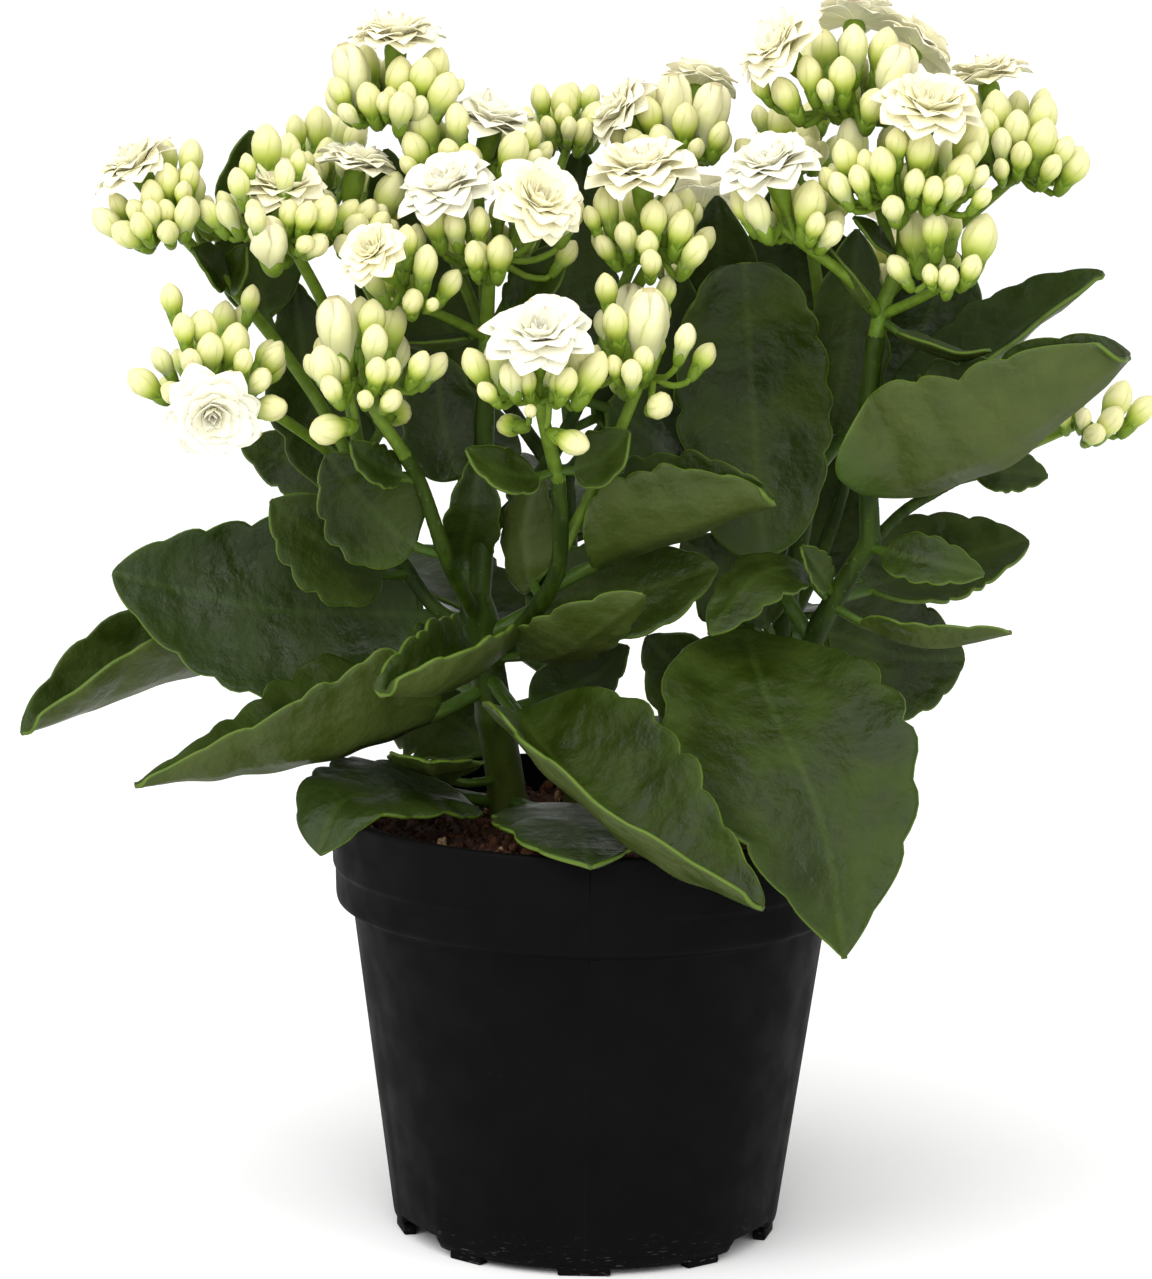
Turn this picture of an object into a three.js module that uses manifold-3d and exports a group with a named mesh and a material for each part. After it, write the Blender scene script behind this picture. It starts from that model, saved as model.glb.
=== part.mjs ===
// A potted flaming katy: a double-flowered, cream-white kalanchoe in a round black nursery pot.
// Millimetres, +Z up, seen from the front along +Y. The pot stands on z = 0 round the axis x = y = 0.
// Left and right are those of someone who looks at the plant from the front.
import * as THREE from "three";
import { mergeVertices } from "three/addons/utils/BufferGeometryUtils.js";
import Module from "manifold-3d";

const wasm = await Module();
wasm.setup();

// Driving dimensions of the pot
const POT_HEIGHT = 100;
const RIM_RADIUS = 60;
const LIP_WIDTH = 2.4;
const BAND_BOTTOM = 76;
const BAND_LINE = 85.7;
const WALL_TOP_RADIUS = 55;
const WALL_FOOT_RADIUS = 45;
const WALL_THICKNESS = 1.2;
const POT_SIDES = 24;
const FLOOR_UNDERSIDE = 3.4;
const FLOOR_TOP = 5;
const SKIRT_BOTTOM = 1.3;
const FOOT_AZIMUTHS = [0, 38, 76, 104, 142, 180, 218, 256, 284, 322];
const NOTCH_AZIMUTHS = [60, 120, 240, 300];
const NOTCH_TOP = 5.3;

// Driving dimensions of the potting mix and of the plant
const MIX_LEVEL = 92;
const SEAT_GAP = 0.3;
const STEM_FOOT = 74;
const LEAF_THICKNESS = 1.1;
const PETIOLE_RADIUS = 1.7;
const TIP_HALF_WIDTH = 0.7;
const OUTLINE_POWER = 0.62; // a blade's outline: lower is fuller
const BEND_AT = 0.55; // where each half bends again, as a share of its width
const PETIOLE_BLEND = 0.12; // the share of a leaf over which its petiole turns into the blade
const BLOOM_RADIUS = 11.5;
const TUBE_RADIUS = 2;
const BUD_RADIUS = 2.7;
const MOST_BUDS = 6;
const FORK_REACH = 1.3;
const BRANCH_SIDES = 4;

const UP = new THREE.Vector3(0, 0, 1);
const radians = THREE.MathUtils.degToRad;
const vector = (xyz) => new THREE.Vector3(...xyz);

// The same draw each time for the same number
function draw(seed) {
  const wave = Math.sin(seed * 12.9898) * 43758.5453;
  return wave - Math.floor(wave);
}

// A closed three.js geometry as a solid, its faces turned out
function solidOf(geometry) {
  const bare = new THREE.BufferGeometry();
  bare.setAttribute("position", geometry.getAttribute("position").clone());
  bare.setIndex(geometry.index);
  const merged = mergeVertices(bare, 1e-4);
  const positions = merged.attributes.position.array;
  const corners = [];
  let volume = 0;
  const a = new THREE.Vector3();
  const b = new THREE.Vector3();
  const c = new THREE.Vector3();
  for (let i = 0; i < merged.index.count; i += 3) {
    const [p, q, r] = merged.index.array.slice(i, i + 3);
    if (p === q || q === r || r === p) continue;
    corners.push(p, q, r);
    a.fromArray(positions, 3 * p);
    b.fromArray(positions, 3 * q);
    c.fromArray(positions, 3 * r);
    volume += a.dot(b.cross(c));
  }
  if (volume < 0) corners.reverse();
  return new wasm.Manifold(
    new wasm.Mesh({ numProp: 3, vertProperties: positions, triVerts: new Uint32Array(corners) }),
  );
}

function join(solids) {
  return solids.reduce((sum, each) => sum.add(each));
}

// Cutting can leave a crumb beside the piece: the largest body is the piece
function largest(solid) {
  return solid.decompose().reduce((best, each) => (each.volume() > best.volume() ? each : best));
}

function meshOf(name, solid, material) {
  const made = solid.getMesh();
  const geometry = new THREE.BufferGeometry();
  geometry.setAttribute("position", new THREE.BufferAttribute(made.vertProperties, 3));
  geometry.setIndex(new THREE.BufferAttribute(made.triVerts, 1));
  geometry.computeVertexNormals();
  const mesh = new THREE.Mesh(geometry, material);
  mesh.name = name;
  return mesh;
}

// A turned shape about Z from [radius, height] pairs
function turned(profile, sides) {
  const points = profile.map(([radius, height]) => new THREE.Vector2(radius, height));
  return new THREE.LatheGeometry(points, sides).rotateX(Math.PI / 2);
}

// Stands a shape made along +Z on a point, leaning along a direction
function stand(geometry, point, direction) {
  const turn = new THREE.Quaternion().setFromUnitVectors(UP, direction.clone().normalize());
  return geometry.applyQuaternion(turn).translate(point.x, point.y, point.z);
}

// A tapered round stem along a smooth curve: a cylinder whose rings are moved onto the curve. It can be
// grown all round, and reach past its last point.
function stemTube(path, [startRadius, endRadius], sides, grow = 0, reach = grow) {
  const points = path.map(vector);
  const last = points.length - 1;
  const startWay = points[0].clone().sub(points[1]).setLength(grow);
  const endWay = points[last].clone().sub(points[last - 1]).setLength(reach);
  points[0].add(startWay);
  points[last].add(endWay);
  const curve = new THREE.CatmullRomCurve3(points, false, "centripetal");
  const steps = Math.max(2, last);
  const frames = curve.computeFrenetFrames(steps);
  const tube = new THREE.CylinderGeometry(1, 1, 1, sides, steps);
  const position = tube.attributes.position;
  const spot = new THREE.Vector3();
  for (let i = 0; i < position.count; i++) {
    const share = position.getY(i) + 0.5;
    const ring = Math.round(share * steps);
    const radius = THREE.MathUtils.lerp(startRadius, endRadius, share) + grow;
    spot.copy(curve.getPointAt(share));
    spot.addScaledVector(frames.normals[ring], position.getX(i) * radius);
    spot.addScaledVector(frames.binormals[ring], position.getZ(i) * radius);
    position.setXYZ(i, spot.x, spot.y, spot.z);
  }
  return solidOf(tube);
}

// A leaf or bract: a fleshy blade on a short petiole, folded along its midrib, with a crenate margin.
// path runs from the stem to the tip, top is the way the upper face looks, and fold lifts the
// half to the right and to the left of someone who walks out along the midrib.
function blade(leaf) {
  const { path, width, top, fold = [12, 12], curl = 12, lobes = 4, petiole = 0.2, broad = 0.75 } = leaf;
  const { fine = false, notch = 0.09, thickness = LEAF_THICKNESS, stalk = PETIOLE_RADIUS } = leaf;
  const { power = OUTLINE_POWER } = leaf;
  const curve = new THREE.CatmullRomCurve3(path.map(vector), false, "centripetal");
  const columns = fine ? [-1, -BEND_AT, 0, BEND_AT, 1] : [-1, 0, 1];
  const stations = [[0, stalk]];
  for (let k = 0; k <= 2 * lobes; k++) {
    const q = k / (2 * lobes);
    const swell = Math.pow(Math.max(0, Math.sin(Math.PI * Math.pow(q, broad))), power);
    const scallop = k % 2 ? 1 : 1 - notch;
    const least = q < 0.5 ? stalk : TIP_HALF_WIDTH;
    stations.push([petiole + (1 - petiole) * q, Math.max((width / 2) * swell * scallop, least)]);
  }
  const corners = [];
  for (const [share, half] of stations) {
    const middle = curve.getPointAt(share);
    const along = curve.getTangentAt(share);
    const face = vector(top).addScaledVector(along, -vector(top).dot(along)).normalize();
    const side = along.clone().cross(face);
    const body = Math.max(0, 1 - share / (petiole + PETIOLE_BLEND));
    const thick = THREE.MathUtils.lerp(thickness, 2 * stalk, body);
    const folded = share === 1 ? 0 : 1 - body; // the fold opens out at the petiole and at the tip
    const rings = [[], []];
    for (const column of columns) {
      const hand = column < 0 ? -1 : 1;
      const lift = radians(fold[column < 0 ? 1 : 0]) * folded;
      const bend = radians(curl) * folded;
      const inner = Math.min(Math.abs(column), BEND_AT);
      const outer = Math.abs(column) - inner;
      const out = inner * Math.cos(lift - bend / 2) + outer * Math.cos(lift + bend);
      const rise = inner * Math.sin(lift - bend / 2) + outer * Math.sin(lift + bend);
      const margin = Math.abs(column) === 1;
      const lean = column === 0 ? 0 : lift + (margin ? bend : 0);
      const point = middle.clone();
      point.addScaledVector(side, hand * out * half);
      point.addScaledVector(face, rise * half);
      const outward = face.clone().multiplyScalar(Math.cos(lean));
      outward.addScaledVector(side, -hand * Math.sin(lean));
      const edge = margin ? 0.8 : 1.15;
      rings[0].push(point.clone().addScaledVector(outward, (edge * thick) / 2));
      rings[1].push(point.clone().addScaledVector(outward, (-edge * thick) / 2));
    }
    corners.push(rings);
  }
  return solidOf(slabGeometry(corners, columns.length));
}

// The closed skin of a slab from its rings: both faces are split into triangles alike
function slabGeometry(rings, count) {
  const positions = [];
  for (const [upper, lower] of rings) {
    for (const point of [...upper, ...lower]) positions.push(point.x, point.y, point.z);
  }
  const at = (ring, layer, column) => ring * 2 * count + layer * count + column;
  const index = [];
  const quad = (a, b, c, d) => index.push(a, b, c, a, c, d);
  for (let ring = 0; ring < rings.length - 1; ring++) {
    for (let column = 0; column < count - 1; column++) {
      const [a, b] = [at(ring, 0, column), at(ring, 0, column + 1)];
      const [c, d] = [at(ring + 1, 0, column + 1), at(ring + 1, 0, column)];
      quad(a, b, c, d);
      index.push(a + count, c + count, b + count, a + count, d + count, c + count);
    }
    quad(at(ring, 0, 0), at(ring + 1, 0, 0), at(ring + 1, 1, 0), at(ring, 1, 0));
    const end = count - 1;
    quad(at(ring, 1, end), at(ring + 1, 1, end), at(ring + 1, 0, end), at(ring, 0, end));
  }
  const last = rings.length - 1;
  for (let column = 0; column < count - 1; column++) {
    quad(at(0, 0, column), at(0, 1, column), at(0, 1, column + 1), at(0, 0, column + 1));
    quad(at(last, 0, column), at(last, 0, column + 1), at(last, 1, column + 1), at(last, 1, column));
  }
  const geometry = new THREE.BufferGeometry();
  geometry.setAttribute("position", new THREE.Float32BufferAttribute(positions, 3));
  geometry.setIndex(index);
  return geometry;
}

// A double bloom: three staggered layers of pointed petals round a heart. Each ring gives radius and
// height as shares of the bloom's radius, how deep the notches between the petals cut in, and the
// layer, whose petals stand over the notches of the layer below.
const BLOOM_SIDES = 10;
const BLOOM_RINGS = [
  [0, -0.16, 0, 0],
  [1, 0.06, 0.42, 0],
  [0.5, 0.16, 0, 0],
  [0.8, 0.36, 0.4, 1],
  [0.34, 0.34, 0, 1],
  [0.5, 0.6, 0.36, 2],
  [0, 0.48, 0, 0],
];

// The way from a fork to the bloom that it carries, which is the way the bloom looks
const wayTo = (fork, { centre }) => vector(centre).sub(vector(fork));

function bloom(fork, flower, seed) {
  const { centre, radius = BLOOM_RADIUS } = flower;
  const profile = BLOOM_RINGS.map(([share, height]) => [share * radius, height * radius]);
  const geometry = turned(profile, BLOOM_SIDES);
  const position = geometry.attributes.position;
  for (let i = 0; i < position.count; i++) {
    const ring = i % BLOOM_RINGS.length;
    const spoke = Math.floor(i / BLOOM_RINGS.length) % BLOOM_SIDES;
    const [, , depth, layer] = BLOOM_RINGS[ring];
    if (!depth) continue;
    const length = 1 + 0.1 * (draw(seed + ring * 31 + spoke * 7) - 0.5);
    const scale = (spoke + layer) % 2 ? length * (1 - depth) : length;
    position.setXY(i, position.getX(i) * scale, position.getY(i) * scale);
  }
  return solidOf(stand(geometry, vector(centre), wayTo(fork, flower)));
}

// The pedicel that a bloom stands on, widening to the green tube right under its petals
function bloomTube(fork, flower) {
  const { radius = BLOOM_RADIUS } = flower;
  const way = wayTo(fork, flower);
  const length = way.length() + BLOOM_RINGS[0][1] * radius - SEAT_GAP;
  const profile = [[0, 0], [TUBE_RADIUS, length], [0, length]];
  return solidOf(stand(turned(profile, BRANCH_SIDES), vector(fork), way));
}

// A bud on its pedicel: a slim stalk from inside the fork, a green cup and a plump four-sided bud,
// widest at one bud's width below its tip
const PEDICEL_RADIUS = 0.75;
function bud(fork, tip, radius) {
  const way = tip.clone().sub(vector(fork));
  const length = way.length();
  const cup = Math.max(length - 4.6 * radius, 0.3 * length);
  const profile = [[0, 0], [PEDICEL_RADIUS, cup], [radius, length - 2 * radius], [0, length]];
  return solidOf(stand(turned(profile, 4), vector(fork), way));
}

// The pot: a thin flared shell with a deep rim band, feet and drainage notches
function pot() {
  const inner = (z) => {
    const share = (z - SKIRT_BOTTOM) / (BAND_BOTTOM - SKIRT_BOTTOM);
    return THREE.MathUtils.lerp(WALL_FOOT_RADIUS, WALL_TOP_RADIUS, share) - WALL_THICKNESS;
  };
  const profile = [
    [0, FLOOR_UNDERSIDE],
    [WALL_FOOT_RADIUS - 3.6, FLOOR_UNDERSIDE],
    [WALL_FOOT_RADIUS - 3, SKIRT_BOTTOM],
    [WALL_FOOT_RADIUS - 1.2, SKIRT_BOTTOM],
    [WALL_FOOT_RADIUS, SKIRT_BOTTOM + 2],
    [WALL_TOP_RADIUS, BAND_BOTTOM],
    [RIM_RADIUS - 1.3, BAND_BOTTOM + 2.5],
    [RIM_RADIUS - 0.9, BAND_LINE],
    [RIM_RADIUS - 0.4, BAND_LINE + 0.4],
    [RIM_RADIUS, POT_HEIGHT - 0.5],
    [RIM_RADIUS - 0.5, POT_HEIGHT],
    [RIM_RADIUS - LIP_WIDTH, POT_HEIGHT],
    [RIM_RADIUS - LIP_WIDTH - 0.4, BAND_BOTTOM + 4],
    [inner(BAND_BOTTOM), BAND_BOTTOM],
    [inner(FLOOR_TOP), FLOOR_TOP],
    [0, FLOOR_TOP],
  ];
  let shell = solidOf(turned(profile, POT_SIDES));
  for (const azimuth of FOOT_AZIMUTHS) {
    const foot = new THREE.BoxGeometry(azimuth % 180 ? 9 : 12, 3, 2.2);
    foot.translate(0, -(WALL_FOOT_RADIUS - 2.3), 1.1).rotateZ(radians(azimuth));
    shell = shell.add(solidOf(foot));
  }
  for (const azimuth of NOTCH_AZIMUTHS) {
    const notch = new THREE.BoxGeometry(17, 14, 2 * NOTCH_TOP);
    notch.translate(0, -WALL_FOOT_RADIUS, 0).rotateZ(radians(azimuth));
    shell = shell.subtract(solidOf(notch));
  }
  return shell;
}

// The potting mix that fills the pot: its top is rough with crumbs, and the stems stand in holes in it
const MIX_SIDES = 16;
function pottingMix(stemRoom) {
  const wall = (z) => {
    const share = (z - SKIRT_BOTTOM) / (BAND_BOTTOM - SKIRT_BOTTOM);
    return THREE.MathUtils.lerp(WALL_FOOT_RADIUS, WALL_TOP_RADIUS, share) - WALL_THICKNESS - 0.8;
  };
  const edge = RIM_RADIUS - LIP_WIDTH - 1.2;
  const profile = [
    [0, FLOOR_TOP + SEAT_GAP],
    [wall(FLOOR_TOP), FLOOR_TOP + SEAT_GAP],
    [wall(BAND_BOTTOM), BAND_BOTTOM],
    [edge, BAND_BOTTOM + 5],
    [edge, MIX_LEVEL - 1],
    [edge - 8, MIX_LEVEL],
    [edge - 20, MIX_LEVEL],
    [0, MIX_LEVEL],
  ];
  const geometry = turned(profile, MIX_SIDES);
  const position = geometry.attributes.position;
  for (let i = 0; i < position.count; i++) {
    const ring = i % profile.length;
    if (ring < 4 || ring === profile.length - 1) continue;
    const spoke = Math.floor(i / profile.length) % MIX_SIDES;
    position.setZ(i, MIX_LEVEL + 1.6 * (draw(ring * 40 + spoke) - 0.5));
  }
  return largest(solidOf(geometry).subtract(stemRoom));
}

// The stems: paths from the mix up to where each flower stem begins, with start and end radius
const STEMS = {
  stem_left: {
    tubes: [
      {
        path: [[-19, 15, STEM_FOOT], [-19, 14, 92], [-23, 7, 120], [-27, 6, 144]],
        radii: [4.8, 4.2],
        sides: 8,
      },
      { path: [[-27, 6, 142], [-26, 9, 160], [-26, 8, 180], [-25.5, 5, 204]], radii: [2.9, 2.1] },
      { path: [[-26, 6, 140], [-35, 9, 142], [-43, 12, 151], [-54, 14, 172]], radii: [1.9, 1.6] },
      {
        path: [[-27, 4, 142], [-30, 0, 148], [-34, -6, 158], [-40, -12, 176], [-43, -15, 182]],
        radii: [2, 1.7],
      },
      {
        path: [[-23, 4, 132], [-17, -3, 141], [-10, -10, 152], [-8, -13, 160], [-8.5, -20, 178]],
        radii: [2.3, 1.8],
      },
      { path: [[-26, 9, 160], [-12, 14, 176], [-2, 14, 196]], radii: [1.9, 1.7] },
    ],
  },
  stem_right: {
    tubes: [
      {
        path: [[47, 6, STEM_FOOT], [48, 6, 118], [50, 5, 136], [55, 2, 148], [63, 0, 162]],
        radii: [2.9, 2.5],
      },
      { path: [[63, 0, 161], [61.5, 0, 190], [63, 0, 209]], radii: [2.5, 2.1] },
      { path: [[63, 1, 161], [72, 12, 168], [86, 20, 175]], radii: [1.6, 1.4] },
    ],
  },
  stem_back: {
    tubes: [
      {
        path: [[38, 25, STEM_FOOT], [41, 24, 110], [44, 25, 136], [48, 26, 160], [52, 26, 190]],
        radii: [3.4, 2.2],
      },
      { path: [[44, 25, 134], [56, 38, 160], [64, 46, 196]], radii: [2, 1.6] },
    ],
  },
  stem_behind: {
    tubes: [
      { path: [[-2, 36, STEM_FOOT], [-4, 36, 104], [-6, 40, 140], [-8, 46, 170]], radii: [3.6, 2.6] },
      { path: [[-8, 46, 168], [-24, 52, 190], [-32, 56, 206]], radii: [2, 1.6] },
      { path: [[-8, 46, 168], [8, 54, 190], [18, 60, 208]], radii: [2, 1.6] },
    ],
  },
};

// The large leaves, one piece each
const LEAVES = [
  {
    name: "leaf_left_broad",
    path: [[-27, 7, 140], [-42, 19, 140], [-76, 18, 141], [-112, 12, 150]],
    width: 46,
    top: [0, -1, 0.4],
    fold: [8, 4],
    lobes: 5,
  },
  {
    name: "leaf_left_low",
    path: [[-22, 9, 121], [-50, 33, 129], [-90, 34, 125], [-132.5, 6, 113]],
    width: 46,
    top: [0, -0.15, 1],
    fold: [46, 58],
    lobes: 5,
    broad: 0.85,
  },
  {
    name: "leaf_front_left",
    path: [[-24, 6, 126], [-38, -3, 120], [-63, -17, 113], [-102, -36, 110]],
    width: 60,
    top: [-0.1, -0.35, 0.9],
    fold: [14, 76],
    lobes: 5,
    broad: 0.42,
    power: 0.9,
    fine: true,
  },
  {
    name: "leaf_cupped",
    path: [[-25, 6, 135], [-25, -9, 134], [-34, -30, 132], [-47, -44, 133]],
    width: 32,
    top: [0, -0.1, 1],
    fold: [66, 54],
    power: 0.45,
  },
  {
    name: "leaf_over_rim_left",
    path: [[-20, 16, 96], [-34, 2, 101], [-47, -13, 104], [-57, -25, 103], [-61, -32, 94]],
    width: 38,
    top: [-0.1, -0.45, 0.88],
    fold: [4, 8],
    curl: -8,
    petiole: 0.25,
    broad: 0.62,
  },
  {
    name: "leaf_over_rim_front",
    path: [[-19, 13, 97], [-11, -14, 101], [-4, -42, 103.4], [0, -71, 101]],
    width: 34,
    top: [0, -0.1, 1],
    fold: [0, 0],
    curl: 4,
    broad: 1.05,
  },
  {
    name: "leaf_front",
    path: [[-24, 6, 128], [-15, -22, 122], [-2, -46, 112], [17, -70, 101], [37, -86, 96]],
    width: 50,
    top: [0, 0, 1],
    fold: [40, 50],
    lobes: 5,
    power: 0.7,
    fine: true,
  },
  {
    name: "leaf_front_right",
    path: [[43, 24, 131], [36, 8, 140], [38, -20, 132], [51, -50, 106], [56, -62, 79]],
    width: 57,
    top: [0.05, -0.8, 0.6],
    fold: [10, 6],
    lobes: 5,
    broad: 0.88,
    power: 0.9,
  },
  {
    name: "leaf_right_big",
    path: [[63, 0, 174], [73, -8, 175], [94, -16, 185], [118, -24, 208]],
    width: 62,
    top: [-0.3, 0, 1],
    fold: [68, 62],
    lobes: 5,
    petiole: 0.06,
    broad: 0.5,
    power: 0.42,
    fine: true,
  },
  {
    name: "leaf_right_top",
    path: [[63, 1, 178], [76, 15, 191], [95, 18, 207], [116, 16, 223]],
    width: 30,
    top: [-0.5, -0.6, 0.7],
    fold: [40, 14],
  },
  {
    name: "leaf_behind_right_stem",
    path: [[52, 26, 176], [62, 32, 188], [74, 34, 204], [83, 34, 226]],
    width: 38,
    top: [0.1, -1, 0.2],
    fold: [8, 8],
  },
  {
    name: "leaf_round_upright",
    path: [[50, 5, 138], [40, 10, 156], [36, 14, 190], [33, 4, 225]],
    width: 38,
    top: [0, -1, 0.1],
    fold: [10, 10],
    lobes: 5,
    petiole: 0.24,
    broad: 1.1,
    power: 0.32,
  },
  {
    name: "leaf_middle_pale",
    path: [[-10, -10, 152], [-2, -8, 156], [14, -12, 163], [40, -18, 174]],
    width: 44,
    top: [0, 0, 1],
    fold: [60, 74],
  },
  {
    name: "leaf_middle_dark",
    path: [[-25, 5, 138], [-8, 2, 147], [10, -2, 150], [28, -2, 156]],
    width: 28,
    top: [0, -0.8, 0.6],
    fold: [6, 6],
  },
  {
    name: "leaf_right_low",
    path: [[56, 2, 149], [68, 16, 150], [84, 26, 154], [102, 30, 158]],
    width: 30,
    top: [-0.1, -0.7, 0.7],
    fold: [14, 10],
  },
  {
    name: "leaf_right_lowest",
    path: [[46, 25, 136], [58, 28, 135], [73, 31, 130], [88, 34, 129]],
    width: 36,
    top: [0.1, -0.95, 0.3],
    fold: [10, 10],
  },
  {
    name: "leaf_back_left",
    path: [[-5, 38, 120], [-26, 48, 132], [-46, 62, 142], [-72, 74, 138]],
    width: 44,
    top: [0, 0.1, 1],
    fold: [20, 20],
  },
  {
    name: "leaf_back_middle",
    path: [[-7, 42, 148], [-6, 54, 156], [-4, 70, 164], [0, 86, 160]],
    width: 40,
    top: [0, 0.1, 1],
    fold: [24, 24],
  },
  {
    name: "leaf_back_right",
    path: [[44, 25, 136], [50, 50, 138], [56, 70, 134], [64, 85, 122]],
    width: 42,
    top: [0.1, 0.1, 1],
    fold: [18, 18],
  },
];

// The small leaves and bracts, each grown together with the stem that it sits on
const SMALL_LEAVES = {
  stem_left: [
    {
      path: [[-22, 3, 133], [-9, -14, 138], [0, -25, 145], [11, -30, 154]],
      width: 22,
      top: [-0.2, 0.9, 0.45],
      lobes: 3,
    },
    {
      path: [[-43, 12, 151], [-50, 6, 152], [-60, 0, 158], [-74, -5, 170]],
      width: 26,
      top: [-0.2, -0.9, 0.45],
      lobes: 3,
    },
    {
      path: [[-34, -6, 158], [-42, -7, 161], [-50, -8, 168], [-61, -14, 182]],
      width: 27,
      top: [-0.3, -0.8, 0.5],
      lobes: 3,
    },
    {
      path: [[-20, 12, 103], [-29, 2, 104], [-35, -8, 108], [-37, -25, 114]],
      width: 24,
      top: [0.1, 0.5, 0.9],
      lobes: 3,
      petiole: 0.45,
    },
    {
      path: [[-12, -7, 148], [-15, 4, 154], [-16, 6, 164], [-13, 5, 176]],
      width: 15,
      top: [0.4, 1, 0],
      fold: [10, 20],
    },
    {
      path: [[-27, 8, 168], [-33, 8, 178], [-36, 8, 190], [-37, 5, 204]],
      width: 22,
      top: [0.1, -1, 0.2],
      lobes: 3,
    },
    {
      path: [[-27, 6, 146], [-30, 10, 154], [-28, 3, 168], [-27, 2, 181]],
      width: 15,
      top: [0.2, -1, 0.1],
      fold: [24, 10],
    },
    {
      path: [[-52, 14, 170], [-62, 26, 172], [-73, 33, 174], [-84, 35, 178]],
      width: 20,
      top: [-0.2, -0.8, 0.6],
    },
    {
      path: [[-48, 13, 160], [-56, 23, 170], [-67, 28, 190], [-71, 27, 217]],
      width: 24,
      top: [0.1, -1, 0.2],
      lobes: 3,
    },
    {
      path: [[-40, -12, 176], [-46, -14, 178], [-52, -19, 182], [-55, -22, 186]],
      width: 11,
      top: [0.2, -0.9, 0.5],
    },
    {
      path: [[-8, 13, 184], [4, 22, 190], [14, 24, 204], [20, 22, 220]],
      width: 26,
      top: [0, -1, 0.1],
      lobes: 3,
    },
    {
      path: [[-20, 10, 120], [-10, 16, 122], [0, 18, 126], [8, 16, 134]],
      width: 17,
      top: [0, -0.8, 0.6],
    },
    {
      path: [[-7, 14, 187], [-9, 30, 206], [-6, 38, 229], [-5, 40, 248]],
      width: 26,
      top: [0, -1, 0.1],
      lobes: 3,
    },
    {
      path: [[-26, 8, 178], [-34, 20, 206], [-46, 28, 227], [-50, 28, 248]],
      width: 26,
      top: [0, -1, 0.1],
      lobes: 3,
    },
    {
      path: [[-20, 16, 102], [-28, 28, 110], [-40, 38, 114], [-54, 44, 112]],
      width: 30,
      top: [0, -0.9, 0.5],
    },
    {
      path: [[-4, 14, 192], [6, 18, 188], [16, 18, 180], [26, 16, 174]],
      width: 24,
      top: [0, -1, 0.3],
    },
  ],
  stem_right: [
    {
      path: [[54, 2, 147], [64, -4, 143], [76, -12, 141], [94, -20, 145]],
      width: 14,
      top: [0, 0.5, 0.9],
      fold: [20, 20],
      lobes: 3,
    },
    {
      path: [[54, 2, 148], [46, -4, 156], [37, -10, 155], [26, -18, 143]],
      width: 18,
      top: [0, -0.5, 0.9],
      fold: [-10, -10],
      lobes: 3,
    },
    {
      path: [[62, 0, 161], [70, -8, 160], [78, -12, 159], [88, -14, 157]],
      width: 13,
      top: [0, -0.9, 0.4],
    },
    { path: [[55, 2, 149], [51, -5, 156], [47, -9, 162]], width: 9, top: [0.4, -0.9, 0.4] },
    {
      path: [[47, 6, 112], [36, 8, 118], [24, 8, 126], [12, 6, 138]],
      width: 28,
      top: [0, -1, 0.3],
      lobes: 3,
    },
    {
      path: [[84, 18, 174], [91, 18, 176], [98, 19, 176], [105, 20, 175]],
      width: 12,
      top: [0, -0.9, 0.4],
    },
  ],
  stem_back: [
    {
      path: [[49, 26, 174], [55, 20, 190], [58, 19, 212], [59, 17, 232]],
      width: 22,
      top: [0, -1, 0.1],
      lobes: 3,
    },
    {
      path: [[51, 26, 180], [52, 36, 194], [48, 43, 216], [44, 43, 243]],
      width: 34,
      top: [0, -1, 0.1],
      lobes: 3,
    },
    {
      path: [[47, 26, 156], [38, 32, 178], [30, 35, 208], [27, 33, 238]],
      width: 28,
      top: [0, -1, 0.1],
      lobes: 3,
    },
    {
      path: [[44, 25, 132], [38, 20, 142], [29, 15, 152], [20, 12, 160]],
      width: 24,
      top: [0, -1, 0.2],
    },
    {
      path: [[45, 26, 145], [50, 42, 154], [52, 50, 166], [54, 54, 182]],
      width: 34,
      top: [0, -1, 0.15],
    },
  ],
  stem_behind: [
    {
      path: [[-3, 36, 102], [6, 48, 107], [14, 62, 108], [20, 80, 96]],
      width: 36,
      top: [0, 0.1, 1],
      lobes: 3,
    },
    {
      path: [[-8, 46, 164], [-26, 54, 172], [-48, 62, 184], [-66, 66, 198]],
      width: 32,
      top: [0.2, -0.6, 0.8],
      lobes: 3,
    },
    {
      path: [[-22, 51, 188], [-36, 52, 200], [-48, 52, 212], [-56, 52, 226]],
      width: 24,
      top: [0, -1, 0.1],
    },
  ],
};

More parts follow.
